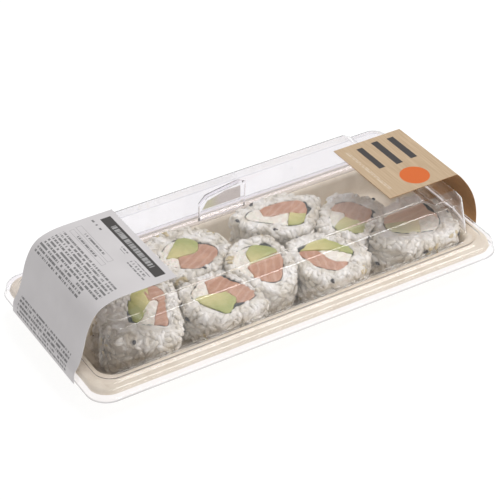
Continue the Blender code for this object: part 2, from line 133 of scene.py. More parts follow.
LID_STATIONS = [
    side * (STEP_TOP_X + (STEP_FOOT_X - STEP_TOP_X) * share)
    for side in (-1, 1)
    for share in (-0.12, -0.06, 0.0, 0.06, 0.12, 0.35, 0.65, 0.88, 0.94, 1.0, 1.06, 1.12)
] + [15.0 * step for step in range(-4, 5)]

LUG_OUTLINE = [(-8.4, 19.0), (20.0, 19.0), (20.0, 35.6), (17.6, 36.6), (-4.0, 33.5), (-8.4, 29.0)]
LUG_FACE_Y = 43.4
LUG_FACE_SCALE = 0.9
LUG_ROOT = 0.25
LUG_HOLLOW_ROOT = 2.0

# The lid looks lilac behind its panel, and a painted shade, darker and lilac, lines the crease over its back
# wall. It is pink in its skirt, and a painted grey shade lines its cut edge. A painted reflection of the
# food lies in the lug, with a slanted left end and top.
LID_TINT = (0.975, 0.967, 0.970)
BACK_TINT = (0.965, 0.952, 0.983)
CREASE_PAINTED_SHADE = (0.80, 0.79, 0.84)
CREASE_SHADE_HALF_WIDTH = 0.4
SKIRT_TINT = (0.965, 0.94, 0.94)
EDGE_PAINTED_SHADE = (0.60, 0.59, 0.60)
EDGE_SHADE_HEIGHT = 0.35
PAINTED_REFLECTION_X = (-4.8, 18.6)
PAINTED_REFLECTION_Z = (24.0, 31.5)
PAINTED_REFLECTION_LEAST_Y = 42.6
PAINTED_REFLECTION_SLANTS = [(1.5, -4.8, 24.0), (0.26, -1.6, 28.7)]
PAINTED_REFLECTION_COLOURS = ((0.49, 0.46, 0.33), (0.51, 0.45, 0.43))
PAINTED_REFLECTION_BLEND_X = (0.0, 6.0)

PAPER = 0.25
LABEL_Z = LID_TOP_Z + GAP
PATH_STEPS = 6
ACROSS_STEP = 0.5
TOOTH = 0.3
TOOTH_COLUMNS = 4
WHITE_SIDES = (-27.7, 37.9)
WHITE_SKEW = -4.5
WHITE_PATH = [
    (-59.2, LABEL_Z), (-76.0, LABEL_Z), (-90.0, LABEL_Z - 0.2), (-98.5, LABEL_Z - 1.9),
    (-103.0, LABEL_Z - 4.6), (-106.0, 39.0), (-108.9, 33.5), (-111.4, 26.5), (-114.2, 20.4),
    (-117.2, 16.2), (-117.9, 13.6), (-118.3, SKIRT_Z - 0.2),
]
KRAFT_SIDES = (-26.5, 24.7)
KRAFT_PATH = [
    (64.1, LABEL_Z), (84.0, LABEL_Z), (103.5, LABEL_Z), (106.3, LABEL_Z - 0.5), (110.3, 42.3),
    (114.0, 37.0), (117.2, 31.0), (119.4, 24.6), (120.6, 18.0), (120.9, SKIRT_Z + 0.6),
]

# A field of print covers from one distance to another along the label's path, and from one side to another
# across it. Small print is drawn as rows of short dashes, which cover the paper with some strength. Its
# thickness is a share of the pitch between two rows. Soft noise parts the dashes, and each row meets it at
# another place.
Field = namedtuple("Field", "start end near far")
SmallPrint = namedtuple("SmallPrint", "pitch thickness strength ink fields")
GREY_INK = (0.10, 0.10, 0.10)
BOX_LINE = 0.22
BOX_STRENGTH = 0.45
ROWS_APART = 7.31
DASHES = 0.9
DASH_GAPS = 0.45
WHITE_BARS = [Field(3.6, 9.3, -23.0, 33.0)]
WHITE_BOXES = [Field(19.4, 22.7, -0.6, 33.2), Field(24.0, 26.6, -1.5, 32.4)]
WHITE_SMALL_PRINT = SmallPrint(2.05, 0.55, 0.8, GREY_INK, [
    Field(12.2, 14.3, 24.8, 35.0), Field(10.6, 12.6, 0.8, 7.2), Field(10.9, 15.2, -22.0, -5.5),
    Field(20.1, 22.1, 6.0, 26.0), Field(24.5, 26.3, 6.0, 26.0), Field(28.6, 41.0, -22.0, 33.4),
    Field(41.0, 46.6, -10.5, 34.6), Field(69.8, 79.8, -19.5, 33.5),
])
WHITE_BAR_PRINT = SmallPrint(20.0, 1.0, 0.6, (0.55, 0.54, 0.54), [Field(5.0, 7.8, -15.0, 24.6)])
KRAFT_STRIPES = (1.5, 0.05)
KRAFT_BARS = [Field(10.9, 14.6, -1.5, 19.8), Field(20.9, 24.9, -2.6, 21.0), Field(30.4, 34.4, -2.0, 20.2)]
KRAFT_PALE_PRINT = SmallPrint(1.8, 0.8, 0.5, (0.75, 0.66, 0.55), [Field(4.2, 6.0, -19.6, 20.3)])
DISC_MIDDLE = (22.9, -15.6)
DISC_RADIUS = 7.8

# A roll's x and y are where its centre lies at the top, lean_x and lean_y are how far that is from over its
# foot, and rice is how thick its rice is where nothing presses it. All its other places are measured from
# its centre, to half a millimetre: the corners of its core, anticlockwise, then the directions in which its
# nori lies folded inwards, and the junction where its three fillings meet. From there a seam runs out to the
# nori at the start of each filling's share, again anticlockwise.
Roll = namedtuple("Roll", "x y lean_x lean_y height rice core folds junction salmon avocado cheese")
ROLLS = [
    Roll(
        -66.4, -10.8, 6.0, -1.0, 20.4, 13.0,
        core=(
            (-14, -6), (-9.5, -11), (-4, -15), (1, -18), (6, -7),
            (11.5, 4), (11, 11), (7.5, 15.5), (0.5, 15), (-6.5, 8.5),
        ),
        folds=(200,), junction=(3, 4.5),
        salmon=((6, 0.5), (1, -6), (-5, -14.5)), avocado=((7.5, 15.5),),
        cheese=((-3, -3), (-11, -10)),
    ),
    Roll(
        -28.8, 16.3, -0.5, 1.0, 21.2, 11.5,
        core=(
            (-14.5, 3.5), (-14.5, -3.5), (-8, -11.5), (-0.5, -15), (9, -12),
            (14, -6.5), (13.5, 0.5), (9, 6), (4, 12), (-5, 11.5),
        ),
        folds=(15,), junction=(-6.5, -1.5),
        salmon=((-9.5, -9.5),), avocado=((2.5, -2.5), (5.5, -1), (9, 5.5)),
        cheese=((-12.5, 0.5), (-5, 7.5), (0, 12)),
    ),
    Roll(
        -31.0, -20.8, 0.0, -4.0, 20.6, 8.0,
        core=(
            (-14.5, 2), (-9.5, -10), (-5, -16), (1.5, -13), (10.5, -11.5), (15, -7.5),
            (11.5, 3), (9.5, 10.5), (4, 13), (-3, 12.5), (-12, 9),
        ),
        folds=(275, 40), junction=(-6, 2),
        salmon=((3, -1.5), (4, -7), (0, -13.5)), avocado=((-11, 3), (-14, 2.5)),
        cheese=((-3.5, 9.5), (-2.5, 12.5)),
    ),
    Roll(
        0.2, -9.6, 0.5, -2.0, 21.4, 8.0,
        core=(
            (-12.5, 9), (-15.5, 0), (-12.5, -9.5), (-7, -17), (-1.5, -18),
            (4.5, -11), (10, -1.5), (9, 11), (3, 13.5), (-6.5, 14),
        ),
        folds=(55,), junction=(-7, 1),
        salmon=((-10.5, -1.5), (-11, -8.5), (-12, -10.5)), avocado=((-3, 2), (7.5, 3), (10, 3)),
        cheese=((-5, 9.5), (-0.5, 13)),
    ),
    Roll(
        30.6, 21.6, -1.0, 1.6, 21.6, 8.0,
        core=(
            (-19, 2.5), (-10.5, -6.5), (-3.5, -13), (4, -14.5), (9, -9.5),
            (15.5, -4.5), (14, 3), (4.5, 7.5), (-9, 8.5), (-17, 8),
        ),
        folds=(345,), junction=(3, -3),
        salmon=((7.5, -7), (10.5, -8.5)), avocado=((-0.5, -7), (-4.5, -13)),
        cheese=((-9.5, 0), (-10.5, 1.5), (-9, 8.5)),
    ),
    Roll(
        31.4, -19.8, 0.5, -2.0, 20.8, 9.0,
        core=(
            (-12.5, 1), (-11.5, -6), (-6, -14), (-0.5, -15.5), (7, -10.5), (12, -6),
            (11, -0.5), (6, 9), (0, 12), (-8, 11.5), (-13.5, 7.5),
        ),
        folds=(130,), junction=(-3.5, 4.5),
        salmon=((-11.5, 8),), avocado=((4.5, -0.5), (8, -5), (10, -7.5)),
        cheese=((-2.5, -3), (-0.5, -8.5), (5.5, -12)),
    ),
    Roll(
        59.7, 0.3, 0.5, 1.0, 21.0, 9.0,
        core=(
            (-14, -4.5), (-10.5, -9.5), (-6, -15), (0, -14.5), (6, -9),
            (12.5, -4.5), (9, 7.5), (5, 12), (-2.5, 13), (-10, 6),
        ),
        folds=(330,), junction=(-3.5, 1),
        salmon=((-1.5, -3.5), (2.5, -8.5), (5, -10)), avocado=((-7.5, -0.5), (-11.5, -3), (-14, -4.5)),
        cheese=((-1.5, 4), (-5, 8), (-6, 10)),
    ),
    Roll(
        85.6, -17.0, 3.0, -0.5, 20.4, 11.0,
        core=(
            (-15.5, 3), (-16, -3), (-10.5, -9), (0, -13.5), (6, -14),
            (12.5, -7.5), (14.5, 4.5), (11.5, 8.5), (0, 9), (-11, 8),
        ),
        folds=(10,), junction=(2, -3),
        salmon=((9.5, -3.5), (13, -5.5)), avocado=((-8, 0.5), (-15.5, 3)),
        cheese=((0, -7), (-3, -12)),
    ),
]
ROLL_FOOT_Z = PULP + GAP
ROLL_COLUMNS = 96
CAVITY_HALF_Y = 40.3
ROOM_CORNER = 9.0
NORI = 0.25
NORI_ROWS = (6.0, 1.5, 0.0)
NORI_TEAR = 2.4
TEAR_LENGTH = 2.4
FOLD_DEPTH = 2.6
FOLD_SPREAD = 26.0
FURTHEST_SHARE = 2.0
SHARE_ACCURACY = 0.001
LEAST_RICE = 0.8
PRESS_SHARPNESS = 10
LEAST_FACING = 0.05

# The direction of the bands of fat in each roll's salmon, and how much paler than the rest its fillings are:
# a painted haze that stands for the milky light the lid's panel reflects over them
SALMON_GRAIN = [100, 60, 60, 30, 60, 20, 50, 80]
PAINTED_HAZE = [0.0, 0.0, 0.0, 0.0, 0.0, 0.0, 0.18, 0.42]
PAINTED_HAZE_COLOUR = (1.0, 0.88, 0.72)

# Avocado is yellow up to one distance from its roll's junction and green from another on, and cloudy.
AVOCADO_GREEN = (3.0, 14.0)
AVOCADO_CLOUDS = 0.3

# How far each filling stands above or below the rim of its roll, how much its outline and its top wander,
# and over what distance
FILLINGS = {"salmon": 0.2, "avocado": 0.5, "cheese": 0.0}
UNEVEN_FILLINGS = {"salmon": (0.25, 0.3, 3.0), "avocado": (0.25, 0.3, 4.0), "cheese": (0.5, 0.6, 2.6)}
FILLING_APART = 10.0
OUTLINE_APART = 5.0
FILLING_SHOULDER = 4.0
OUTLINE_STEP = 0.6
CORNER_ROUNDS = 3
HEART_STEP = 0.5
SHORTEST_SIDE = 0.2
EDGE_ROWS = [(0.0, 0.45), (0.15, 0.2), (0.4, 0.06), (0.9, 0.0)]
INNER_ROWS = [0.8, 0.55, 0.3, 0.1]

# The outside of a roll's rice in section, from its foot to the top of its hole: the share of the way from
# the hole to the outside, and the share of the height.
RICE_FOOT = [(0.0, 0.0), (0.8, 0.0), (0.92, 0.01)]
RICE_SECTION = [
    (0.96, 0.06), (0.98, 0.14), (1.0, 0.32), (1.0, 0.54), (1.0, 0.76), (0.98, 0.87),
    (0.92, 0.95), (0.76, 1.0), (0.5, 1.01), (0.25, 1.0), (0.0, 0.99),
]

# The core under the grains clears the nori, and isn't lumpy at its foot and in its hole.
CORE_DEPTH = 0.9
CORE_LUMP = 5.0
CORE_UNEVENNESS = 1.2
CORE_CLEARANCE = 0.05
LEAST_CORE = 0.1
PLAIN_HEIGHT = 0.02
PLAIN_SHARE = 0.1

# How far from a point of the rice its slopes are felt: round the roll, and up its section, or down it from
# the turn on
FEELER_ANGLE = 2
FEELER_SHARE = 0.02
FEELER_TURN = 0.95

# Grains of rice. A higher slimness makes them slimmer towards their ends. Past the cut's share of the way up
# the section they lie deeper, and past the rim's they lie along it.
GRAIN_LENGTH = 6.0
GRAIN_WIDTH = 2.9
GRAIN_THICKNESS = 2.5
GRAIN_SIZES = (0.8, 0.92, 1.04)
GRAIN_BOWS = (0.1, 0.35)
GRAIN_SLIMNESS = 0.75
GRAIN_ROWS = 7
GRAIN_SIDES = 10
GRAIN_CREASE = 70
GRAIN_PITCH = 3.3
GRAIN_LAYERS = 10
GRAIN_WANDER = 0.35
GRAIN_TILT = 18
LOWEST_GRAIN = 0.02
HIGHEST_GRAIN = 0.97
CUT_SHARE = 0.68
RIM_SHARE = 0.86
RIM_SPIN = 30
SIDE_SUNK = (0.2, 0.9)
CUT_SUNK = (0.5, 1.0)

# The rice and the inside of the tray are browned round one place at the left end: partly a stain, and partly
# painted shade in the corner under the white label.
STAIN_AND_SHADE_MIDDLE = (-93.0, -27.0, 8.0)
STAIN_AND_SHADE_REACH = 24.0
STAIN_AND_SHADE_SPOTS = (150, 0.42, 0.6)
STAIN_AND_SHADE_BASE = 0.15
STAIN_AND_SHADE_CONTRAST = 2.0
STAIN_AND_SHADE_SHARE = 0.6
STAIN_AND_SHADE_COLOUR = (0.27, 0.20, 0.115)

# Where sesame seeds stick to the rice: the number of the roll, the direction round it, and the share of the
# way up the rice's section.
SEEDS = {
    "black": [
        (1, 164, 0.2), (1, 228, 0.56), (2, 112, 0.62), (2, 272, 0.8), (3, 192, 0.38), (5, 128, 0.71),
        (5, 172, 0.71), (5, 228, 0.74), (6, 244, 0.53), (8, 200, 0.2), (8, 256, 0.38), (8, 312, 0.41),
        (8, 344, 0.62), (1, 70, 0.45), (2, 60, 0.4), (3, 80, 0.5), (4, 100, 0.35), (5, 60, 0.5),
        (7, 80, 0.25), (7, 20, 0.6), (8, 60, 0.5),
    ],
    "yellow": [
        (1, 152, 0.2), (1, 192, 0.29), (2, 100, 0.71), (2, 224, 0.47), (2, 236, 0.56), (3, 220, 0.2),
        (4, 156, 0.8), (6, 292, 0.47), (8, 268, 0.41), (8, 300, 0.53), (1, 110, 0.5), (2, 30, 0.55),
        (4, 60, 0.6), (5, 90, 0.4), (7, 110, 0.6), (8, 20, 0.4),
    ],
}
SEED_COLOURS = {
    "black": ((0.010, 0.010, 0.012), (0.035, 0.034, 0.036)),
    "yellow": ((0.52, 0.42, 0.23), (0.68, 0.58, 0.38)),
}

# How many seeds lie at each place, and how far to either side and up or down
SeedGroup = namedtuple("SeedGroup", "count angle share")
SEED_GROUPS = {"black": SeedGroup(1, 0, 0), "yellow": SeedGroup(6, 9, 0.07)}
SEED_SHUFFLE = 5
SEED_LENGTH = 3.0
SEED_WIDTH = 1.8
SEED_THICKNESS = 1.0
SEED_POINT = 0.3
SEED_LIFT = 0.4


def new_material(name):
    made = bpy.data.materials.new(name)
    made.use_nodes = True
    return made, made.node_tree


def is_socket(value):
    return hasattr(value, "is_output")


def add_node(tree, kind, inputs, output=0, **settings):
    """One output of a new node, each of whose inputs is a socket to link or a plain value."""
    made = tree.nodes.new(kind)
    for key, value in settings.items():
        setattr(made, key, value)
    for key, value in inputs.items():
        if is_socket(value):
            tree.links.new(value, made.inputs[key])
        else:
            made.inputs[key].default_value = value
    return made.outputs[output]


def calculate(tree, operation, first, second=0.0, clamped=False):
    return add_node(tree, "ShaderNodeMath", {0: first, 1: second}, operation=operation, use_clamp=clamped)


def product(tree, result, *factors):
    for factor in factors:
        result = calculate(tree, "MULTIPLY", result, factor)
    return result


def ramp(tree, value, low, high):
    """The value as a share of the way from low to high, kept from 0 to 1."""
    return add_node(tree, "ShaderNodeMapRange", {"Value": value, "From Min": low, "From Max": high})


def inside(tree, value, low, high):
    above = calculate(tree, "GREATER_THAN", value, low)
    return product(tree, above, calculate(tree, "LESS_THAN", value, high))


def blend(tree, share, *colours):
    """The mix of two colours, each a socket or a plain (r, g, b)."""
    first, second = (colour if is_socket(colour) else (*colour, 1.0) for colour in colours)
    return add_node(tree, "ShaderNodeMix", {0: share, 6: first, 7: second}, 2, data_type="RGBA")


def object_place(tree):
    return add_node(tree, "ShaderNodeTexCoord", {}, "Object")


def coordinates(tree, place):
    """The x, y and z of a place."""
    return add_node(tree, "ShaderNodeSeparateXYZ", {0: place}).node.outputs[:]


def spots(tree, scale, low=0.3, high=0.7, stretch=(1, 1, 1)):
    """Soft noise from 0 to 1, at a number of spots a metre, with its contrast between low and high."""
    stretched = add_node(tree, "ShaderNodeMapping", {"Vector": object_place(tree), "Scale": stretch})
    cloud = add_node(tree, "ShaderNodeTexNoise", {"Vector": stretched, "Scale": scale, "Detail": 3.0})
    return ramp(tree, cloud, low, high)


def set_values(made, **values):
    shader = made.node_tree.nodes["Principled BSDF"]
    for name, value in values.items():
        shader.inputs[name.replace("_", " ")].default_value = value
    return shader


def finish_look(made, colour, relief=None, **values):
    """The material with its colour, and its relief: a height or spots a metre, a depth and a strength."""
    tree = made.node_tree
    shader = set_values(made, **values)
    tree.links.new(colour, shader.inputs["Base Color"])
    if relief:
        height, depth, strength = relief
        if not is_socket(height):
            height = spots(tree, height, *RELIEF_CONTRAST)
        bump = add_node(tree, "ShaderNodeBump", {"Height": height, "Distance": depth, "Strength": strength})
        tree.links.new(bump, shader.inputs["Normal"])
    return made


def make_plain(name, scale, dark, light, relief=None, **values):
    """A surface whose colour wanders between two."""
    made, tree = new_material(name)
    return finish_look(made, blend(tree, spots(tree, scale), dark, light), relief, **values)


def stained_and_shaded(tree, colour):
    """The colour, browned in uneven patches round the middle of the stain and painted corner shade."""
    places = {0: object_place(tree), 1: tuple(value * MM for value in STAIN_AND_SHADE_MIDDLE)}
    distance = add_node(tree, "ShaderNodeVectorMath", places, "Value", operation="DISTANCE")
    near = ramp(tree, distance, STAIN_AND_SHADE_REACH * MM, 0.0)
    patches = calculate(tree, "ADD", spots(tree, *STAIN_AND_SHADE_SPOTS), STAIN_AND_SHADE_BASE)
    share = calculate(tree, "MINIMUM", product(tree, near, patches, STAIN_AND_SHADE_CONTRAST), STAIN_AND_SHADE_SHARE)
    return blend(tree, share, colour, STAIN_AND_SHADE_COLOUR)


def make_pulp():
    made, tree = new_material("moulded_pulp")
    colour = blend(tree, spots(tree, 160, 0.35, 0.65), (0.75, 0.67, 0.55), (0.83, 0.755, 0.635))
    fibres = product(tree, spots(tree, 900, 0.60, 0.72, stretch=(1, 0.25, 1)), 0.35)
    colour = blend(tree, fibres, colour, (0.56, 0.45, 0.33))
    facing = coordinates(tree, add_node(tree, "ShaderNodeTexCoord", {}, "Normal"))[2]
    height = coordinates(tree, object_place(tree))[2]
    upward = calculate(tree, "GREATER_THAN", facing, 0.0)
    in_tray = product(tree, upward, calculate(tree, "LESS_THAN", height, INNER_BRIM.z * MM))
    # Upward faces inside the tray take the stain and the painted corner shade
    colour = blend(tree, in_tray, colour, stained_and_shaded(tree, colour))
    return finish_look(made, colour, (1400, 0.0001, 0.5), Roughness=0.8)


def lid_colour(tree):
    """The lid's colour at a point, with the painted darkening along its crease and its cut edge, and the
    painted reflection of the food in its lug.
    """
    x, y, z = (calculate(tree, "DIVIDE", value, MM) for value in coordinates(tree, object_place(tree)))
    behind = calculate(tree, "GREATER_THAN", y, PANEL_HALF_Y)
    # Painted shade: a darker lilac line along the crease over the back wall
    crease = inside(tree, z, SHOULDER.z - CREASE_SHADE_HALF_WIDTH, SHOULDER.z + CREASE_SHADE_HALF_WIDTH)
    colour = blend(tree, behind, LID_TINT, BACK_TINT)
    colour = blend(tree, product(tree, behind, crease), colour, CREASE_PAINTED_SHADE)
    # The skirt's own pink tint, then a painted grey shade along the cut edge at the bottom
    for tint_and_shade, top in ((SKIRT_TINT, TRAY_DEPTH), (EDGE_PAINTED_SHADE, SKIRT_Z + EDGE_SHADE_HEIGHT)):
        colour = blend(tree, calculate(tree, "LESS_THAN", z, top), colour, tint_and_shade)
    # A painted reflection of the food in the lug, with a slanted left end and top
    painted_reflection = product(tree, inside(tree, x, *PAINTED_REFLECTION_X), inside(tree, z, *PAINTED_REFLECTION_Z))
    painted_reflection = product(tree, painted_reflection, calculate(tree, "GREATER_THAN", y, PAINTED_REFLECTION_LEAST_Y))
    for slope, start_x, start_z in PAINTED_REFLECTION_SLANTS:
        rise = product(tree, calculate(tree, "SUBTRACT", x, start_x), slope)
        below = calculate(tree, "LESS_THAN", z, calculate(tree, "ADD", rise, start_z))
        painted_reflection = product(tree, painted_reflection, below)
    return blend(tree, painted_reflection, colour, blend(tree, ramp(tree, x, *PAINTED_REFLECTION_BLEND_X), *PAINTED_REFLECTION_COLOURS))


def make_clear():
    """Clear plastic. It bends what is seen through it, and lets the light on things straight past."""
    made, tree = new_material("clear_plastic")
    finish_look(made, lid_colour(tree), Roughness=0.04, IOR=1.46, Transmission_Weight=1.0)
    ray = tree.nodes.new("ShaderNodeLightPath").outputs
    straight = calculate(tree, "MAXIMUM", ray["Is Shadow Ray"], ray["Is Diffuse Ray"])
    through = add_node(tree, "ShaderNodeBsdfTransparent", {"Color": (*LID_TINT, 1.0)})
    bent = tree.nodes["Principled BSDF"].outputs[0]
    mix = add_node(tree, "ShaderNodeMixShader", {0: straight, 1: bent, 2: through})
    tree.links.new(mix, tree.nodes["Material Output"].inputs["Surface"])
    return made


def make_rice():
    made, tree = new_material("cooked_rice")
    colour = blend(tree, spots(tree, 140, 0.36, 0.64), (0.66, 0.605, 0.51), (0.93, 0.90, 0.85))
    set_values(made, Subsurface_Weight=0.2, Subsurface_Scale=0.0015, Subsurface_Radius=(1.0, 0.9, 0.75))
    # The rice takes the same stain and painted corner shade
    return finish_look(made, stained_and_shaded(tree, colour), (1300, 0.00015, 0.5), Roughness=0.35)


def make_nori():
    dark, light = (0.012, 0.018, 0.016), (0.045, 0.055, 0.045)
    return make_plain("nori_sheet", 700, dark, light, (1500, 0.0002, 1.0), Roughness=0.45)


def make_salmon(number):
    """Salmon with pale bands of fat, which run across its piece."""
    made, tree = new_material(f"salmon_{number}")
    turn = (0, 0, math.radians(SALMON_GRAIN[number - 1]))
    placing = {"Vector": object_place(tree), "Rotation": turn, "Scale": (1, 1, 0.3)}
    turned = add_node(tree, "ShaderNodeMapping", placing)
    waves = {"Vector": turned, "Scale": 80.0, "Distortion": 2.6, "Detail": 2.0, "Detail Scale": 1.5}
    fat = ramp(tree, add_node(tree, "ShaderNodeTexWave", waves, "Fac"), 0.55, 1.0)
    flesh = blend(tree, spots(tree, 180), (0.45, 0.22, 0.135), (0.575, 0.315, 0.205))
    colour = blend(tree, product(tree, fat, 0.3), flesh, (0.70, 0.48, 0.38))
    # Painted haze: lightened for the milky light that the lid reflects over this roll
    colour = blend(tree, PAINTED_HAZE[number - 1], colour, PAINTED_HAZE_COLOUR)
    set_values(made, Subsurface_Weight=0.2, Subsurface_Scale=0.002, Subsurface_Radius=(1.0, 0.6, 0.4))
    set_values(made, Coat_Weight=0.25, Coat_Roughness=0.15)
    return finish_look(made, colour, (fat, 0.0002, 0.4), Roughness=0.3)


def make_avocado(number, roll):
    """Avocado, green by the nori where its skin was and yellow towards the middle of the roll."""
    made, tree = new_material(f"avocado_{number}")
    middle = ((roll.x + roll.junction[0]) * MM, (roll.y + roll.junction[1]) * MM, 0.0)
    away = object_place(tree)
    for operation, value in (("SUBTRACT", middle), ("MULTIPLY", (1.0, 1.0, 0.0))):
        away = add_node(tree, "ShaderNodeVectorMath", {0: away, 1: value}, operation=operation)
    distance = add_node(tree, "ShaderNodeVectorMath", {0: away}, "Value", operation="LENGTH")
    reach = ramp(tree, distance, *(value * MM for value in AVOCADO_GREEN))
    soft = calculate(tree, "ADD", reach, product(tree, spots(tree, 220), AVOCADO_CLOUDS))
    share = calculate(tree, "SUBTRACT", soft, AVOCADO_CLOUDS / 2, clamped=True)
    colour = blend(tree, share, (0.61, 0.55, 0.24), (0.36, 0.39, 0.12))
    # Painted haze: lightened for the milky light that the lid reflects over this roll
    colour = blend(tree, PAINTED_HAZE[number - 1], colour, PAINTED_HAZE_COLOUR)
    set_values(made, Subsurface_Weight=0.15, Subsurface_Scale=0.0015, Subsurface_Radius=(0.9, 1.0, 0.4))
    return finish_look(made, colour, (500, 0.0002, 0.5), Roughness=0.4)


def make_cheese():
    dark, light = (0.81, 0.75, 0.65), (0.91, 0.87, 0.79)
    made = make_plain("cream_cheese", 300, dark, light, (420, 0.0007, 1.0), Roughness=0.35)
    set_values(made, Subsurface_Weight=0.15, Subsurface_Scale=0.001)
    return made


def field_mask(tree, place, field):
    along, across = place
    in_length = inside(tree, along, field.start, field.end)
    return product(tree, in_length, inside(tree, across, field.near, field.far))


def any_field(tree, place, fields):
    total = 0.0
    for field in fields:
        total = calculate(tree, "MAXIMUM", field_mask(tree, place, field), total)
    return total


def box_mask(tree, place, field):
    """The thin outline of a field."""
    start, end, near, far = field
    inner = Field(start + BOX_LINE, end - BOX_LINE, near + BOX_LINE, far - BOX_LINE)
    return calculate(tree, "SUBTRACT", field_mask(tree, place, field), field_mask(tree, place, inner))


def with_small_print(tree, place, colour, lines):
    """The colour with rows of dashes of uneven length, which stand for small print."""
    along, across = place
    rows = calculate(tree, "DIVIDE", along, lines.pitch)
    row = calculate(tree, "FLOOR", rows)
    within = calculate(tree, "SUBTRACT", rows, row)
    apart = add_node(tree, "ShaderNodeCombineXYZ", {0: across, 1: product(tree, row, ROWS_APART)})
    words = add_node(tree, "ShaderNodeTexNoise", {"Vector": apart, "Scale": DASHES, "Detail": 1.0})
    shown = calculate(tree, "GREATER_THAN", words, DASH_GAPS)
    dashes = product(tree, shown, calculate(tree, "LESS_THAN", within, lines.thickness))
    share = product(tree, any_field(tree, place, lines.fields), dashes, lines.strength)
    return blend(tree, share, colour, lines.ink)


def new_print(name):
    """A printed material, and where a point of it lies along and across its label in millimetres."""
    made, tree = new_material(name)
    return made, tree, coordinates(tree, add_node(tree, "ShaderNodeUVMap", {}, uv_map="print"))[:2]


def make_white_print():
    made, tree, place = new_print("white_label_print")
    colour = blend(tree, spots(tree, 60), (0.58, 0.555, 0.56), (0.62, 0.595, 0.60))
    colour = with_small_print(tree, place, colour, WHITE_SMALL_PRINT)
    boxes = calculate(tree, "MAXIMUM", *(box_mask(tree, place, box) for box in WHITE_BOXES))
    colour = blend(tree, product(tree, boxes, BOX_STRENGTH), colour, GREY_INK)
    colour = blend(tree, any_field(tree, place, WHITE_BARS), colour, (0.045, 0.04, 0.038))
    colour = with_small_print(tree, place, colour, WHITE_BAR_PRINT)
    return finish_look(made, colour, (2500, 0.00003, 0.4), Roughness=0.55)


def make_kraft_print():
    made, tree, place = new_print("kraft_label_print")
    fine, coarse = (product(tree, value, scale) for value, scale in zip(place, KRAFT_STRIPES))
    streaked = add_node(tree, "ShaderNodeCombineXYZ", {0: fine, 1: coarse})
    stripes = add_node(tree, "ShaderNodeTexNoise", {"Vector": streaked, "Scale": 1.0, "Detail": 3.0})
    colour = blend(tree, ramp(tree, stripes, 0.35, 0.65), (0.435, 0.31, 0.192), (0.53, 0.395, 0.258))
    colour = with_small_print(tree, place, colour, KRAFT_PALE_PRINT)
    colour = blend(tree, any_field(tree, place, KRAFT_BARS), colour, (0.04, 0.035, 0.035))
    squares = [
        calculate(tree, "POWER", calculate(tree, "SUBTRACT", value, middle), 2.0)
        for value, middle in zip(place, DISC_MIDDLE)
    ]
    disc = calculate(tree, "LESS_THAN", calculate(tree, "ADD", *squares), DISC_RADIUS**2)
    colour = blend(tree, disc, colour, (0.61, 0.12, 0.012))
    return finish_look(made, colour, (2200, 0.00004, 0.5), Roughness=0.7)


def direction(angle):
    return math.cos(math.radians(angle)), math.sin(math.radians(angle))


def add_object(name, data):
    made = bpy.data.objects.new(name, data)
    bpy.context.scene.collection.objects.link(made)
    return made


def add_piece(name, points, faces, surface, replaced, slot, sharp_angle=40, turn_out=True):
    """A piece from points in millimetres. It stands for the CAD nodes in replaced and rides on the body."""
    mesh = bpy.data.meshes.new(name)
    mesh.from_pydata([[value * MM for value in point] for point in points], [], faces)
    if turn_out:
        edited = bmesh.new()
        edited.from_mesh(mesh)
        bmesh.ops.recalc_face_normals(edited, faces=edited.faces)
        edited.to_mesh(mesh)
        edited.free()
    mesh.shade_smooth()
    mesh.set_sharp_from_angle(angle=math.radians(sharp_angle))
    mesh.materials.append(surface)
    made = add_object(name, mesh)
    if replaced:
        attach(made, BODY)
        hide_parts(*replaced)
    return made


def skin(loops, ends="strips"):
    """Quads between successive loops. The ends get strips of quads or a whole face each, or are joined."""
    count = len(loops[0])
    points = [point for loop in loops for point in loop]
    faces = []
    for row in range(len(loops) if ends == "joined" else len(loops) - 1):
        base = row * count
        above = (row + 1) % len(loops) * count
        for column in range(count):
            beside = (column + 1) % count
            faces.append((base + column, base + beside, above + beside, above + column))
    for base in (0, len(points) - count):
        if ends == "whole":
            faces.append(tuple(range(base, base + count)))
        if ends == "strips":
            for step in range(count // 2 - 1):
                far = base + count - 1 - step
                faces.append((base + step, base + step + 1, far - 1, far))
    return points, faces


def between(first, second, share):
    """The values that lie a share of the way from the first ones to the second ones."""
    return [a + (b - a) * share for a, b in zip(first, second)]


def ring_distance(first, second):
    return math.hypot(first.half_y - second.half_y, first.z - second.z)


def soften(rings, reach):
    """The rings with each bend between them rounded, from reach before it to reach after it."""
    softened = [rings[0]]
    for before, ring, after in zip(rings, rings[1:], rings[2:]):
        back, onward = (
            min(reach / max(ring_distance(ring, other), GAP), FURTHEST_BEND) for other in (before, after)
        )
        start = between(ring, before, back)
        end = between(ring, after, onward)
        for step in range(FILLET_STEPS + 1):
            share = step / FILLET_STEPS
            bend = between(between(start, ring, share), between(ring, end, share), share)
            softened.append(Ring(*bend))
    return softened + [rings[-1]]


def ring_points(ring, stations):
    """The ring's points: its front half from left to right, then its back half from right to left."""
    straight_x = ring.half_x - ring.corner
    straight_y = ring.half_y - ring.corner
    corners = []
    for side, start in ((-1, 180), (1, 270)):
        corner = []
        for step in range(CORNER_STEPS + 1):
            along, across = direction(start + 90 * step / CORNER_STEPS)
            x = side * straight_x + ring.corner * along
            corner.append((x, ring.corner * across - straight_y, ring.z))
        corners.append(corner)
    front = corners[0] + [(x, -ring.half_y, ring.z) for x in sorted(stations)] + corners[1]
    return front + [(x, -y, z) for x, y, z in reversed(front)]


def unit(along, up):
    length = math.hypot(along, up)
    return along / length, up / length


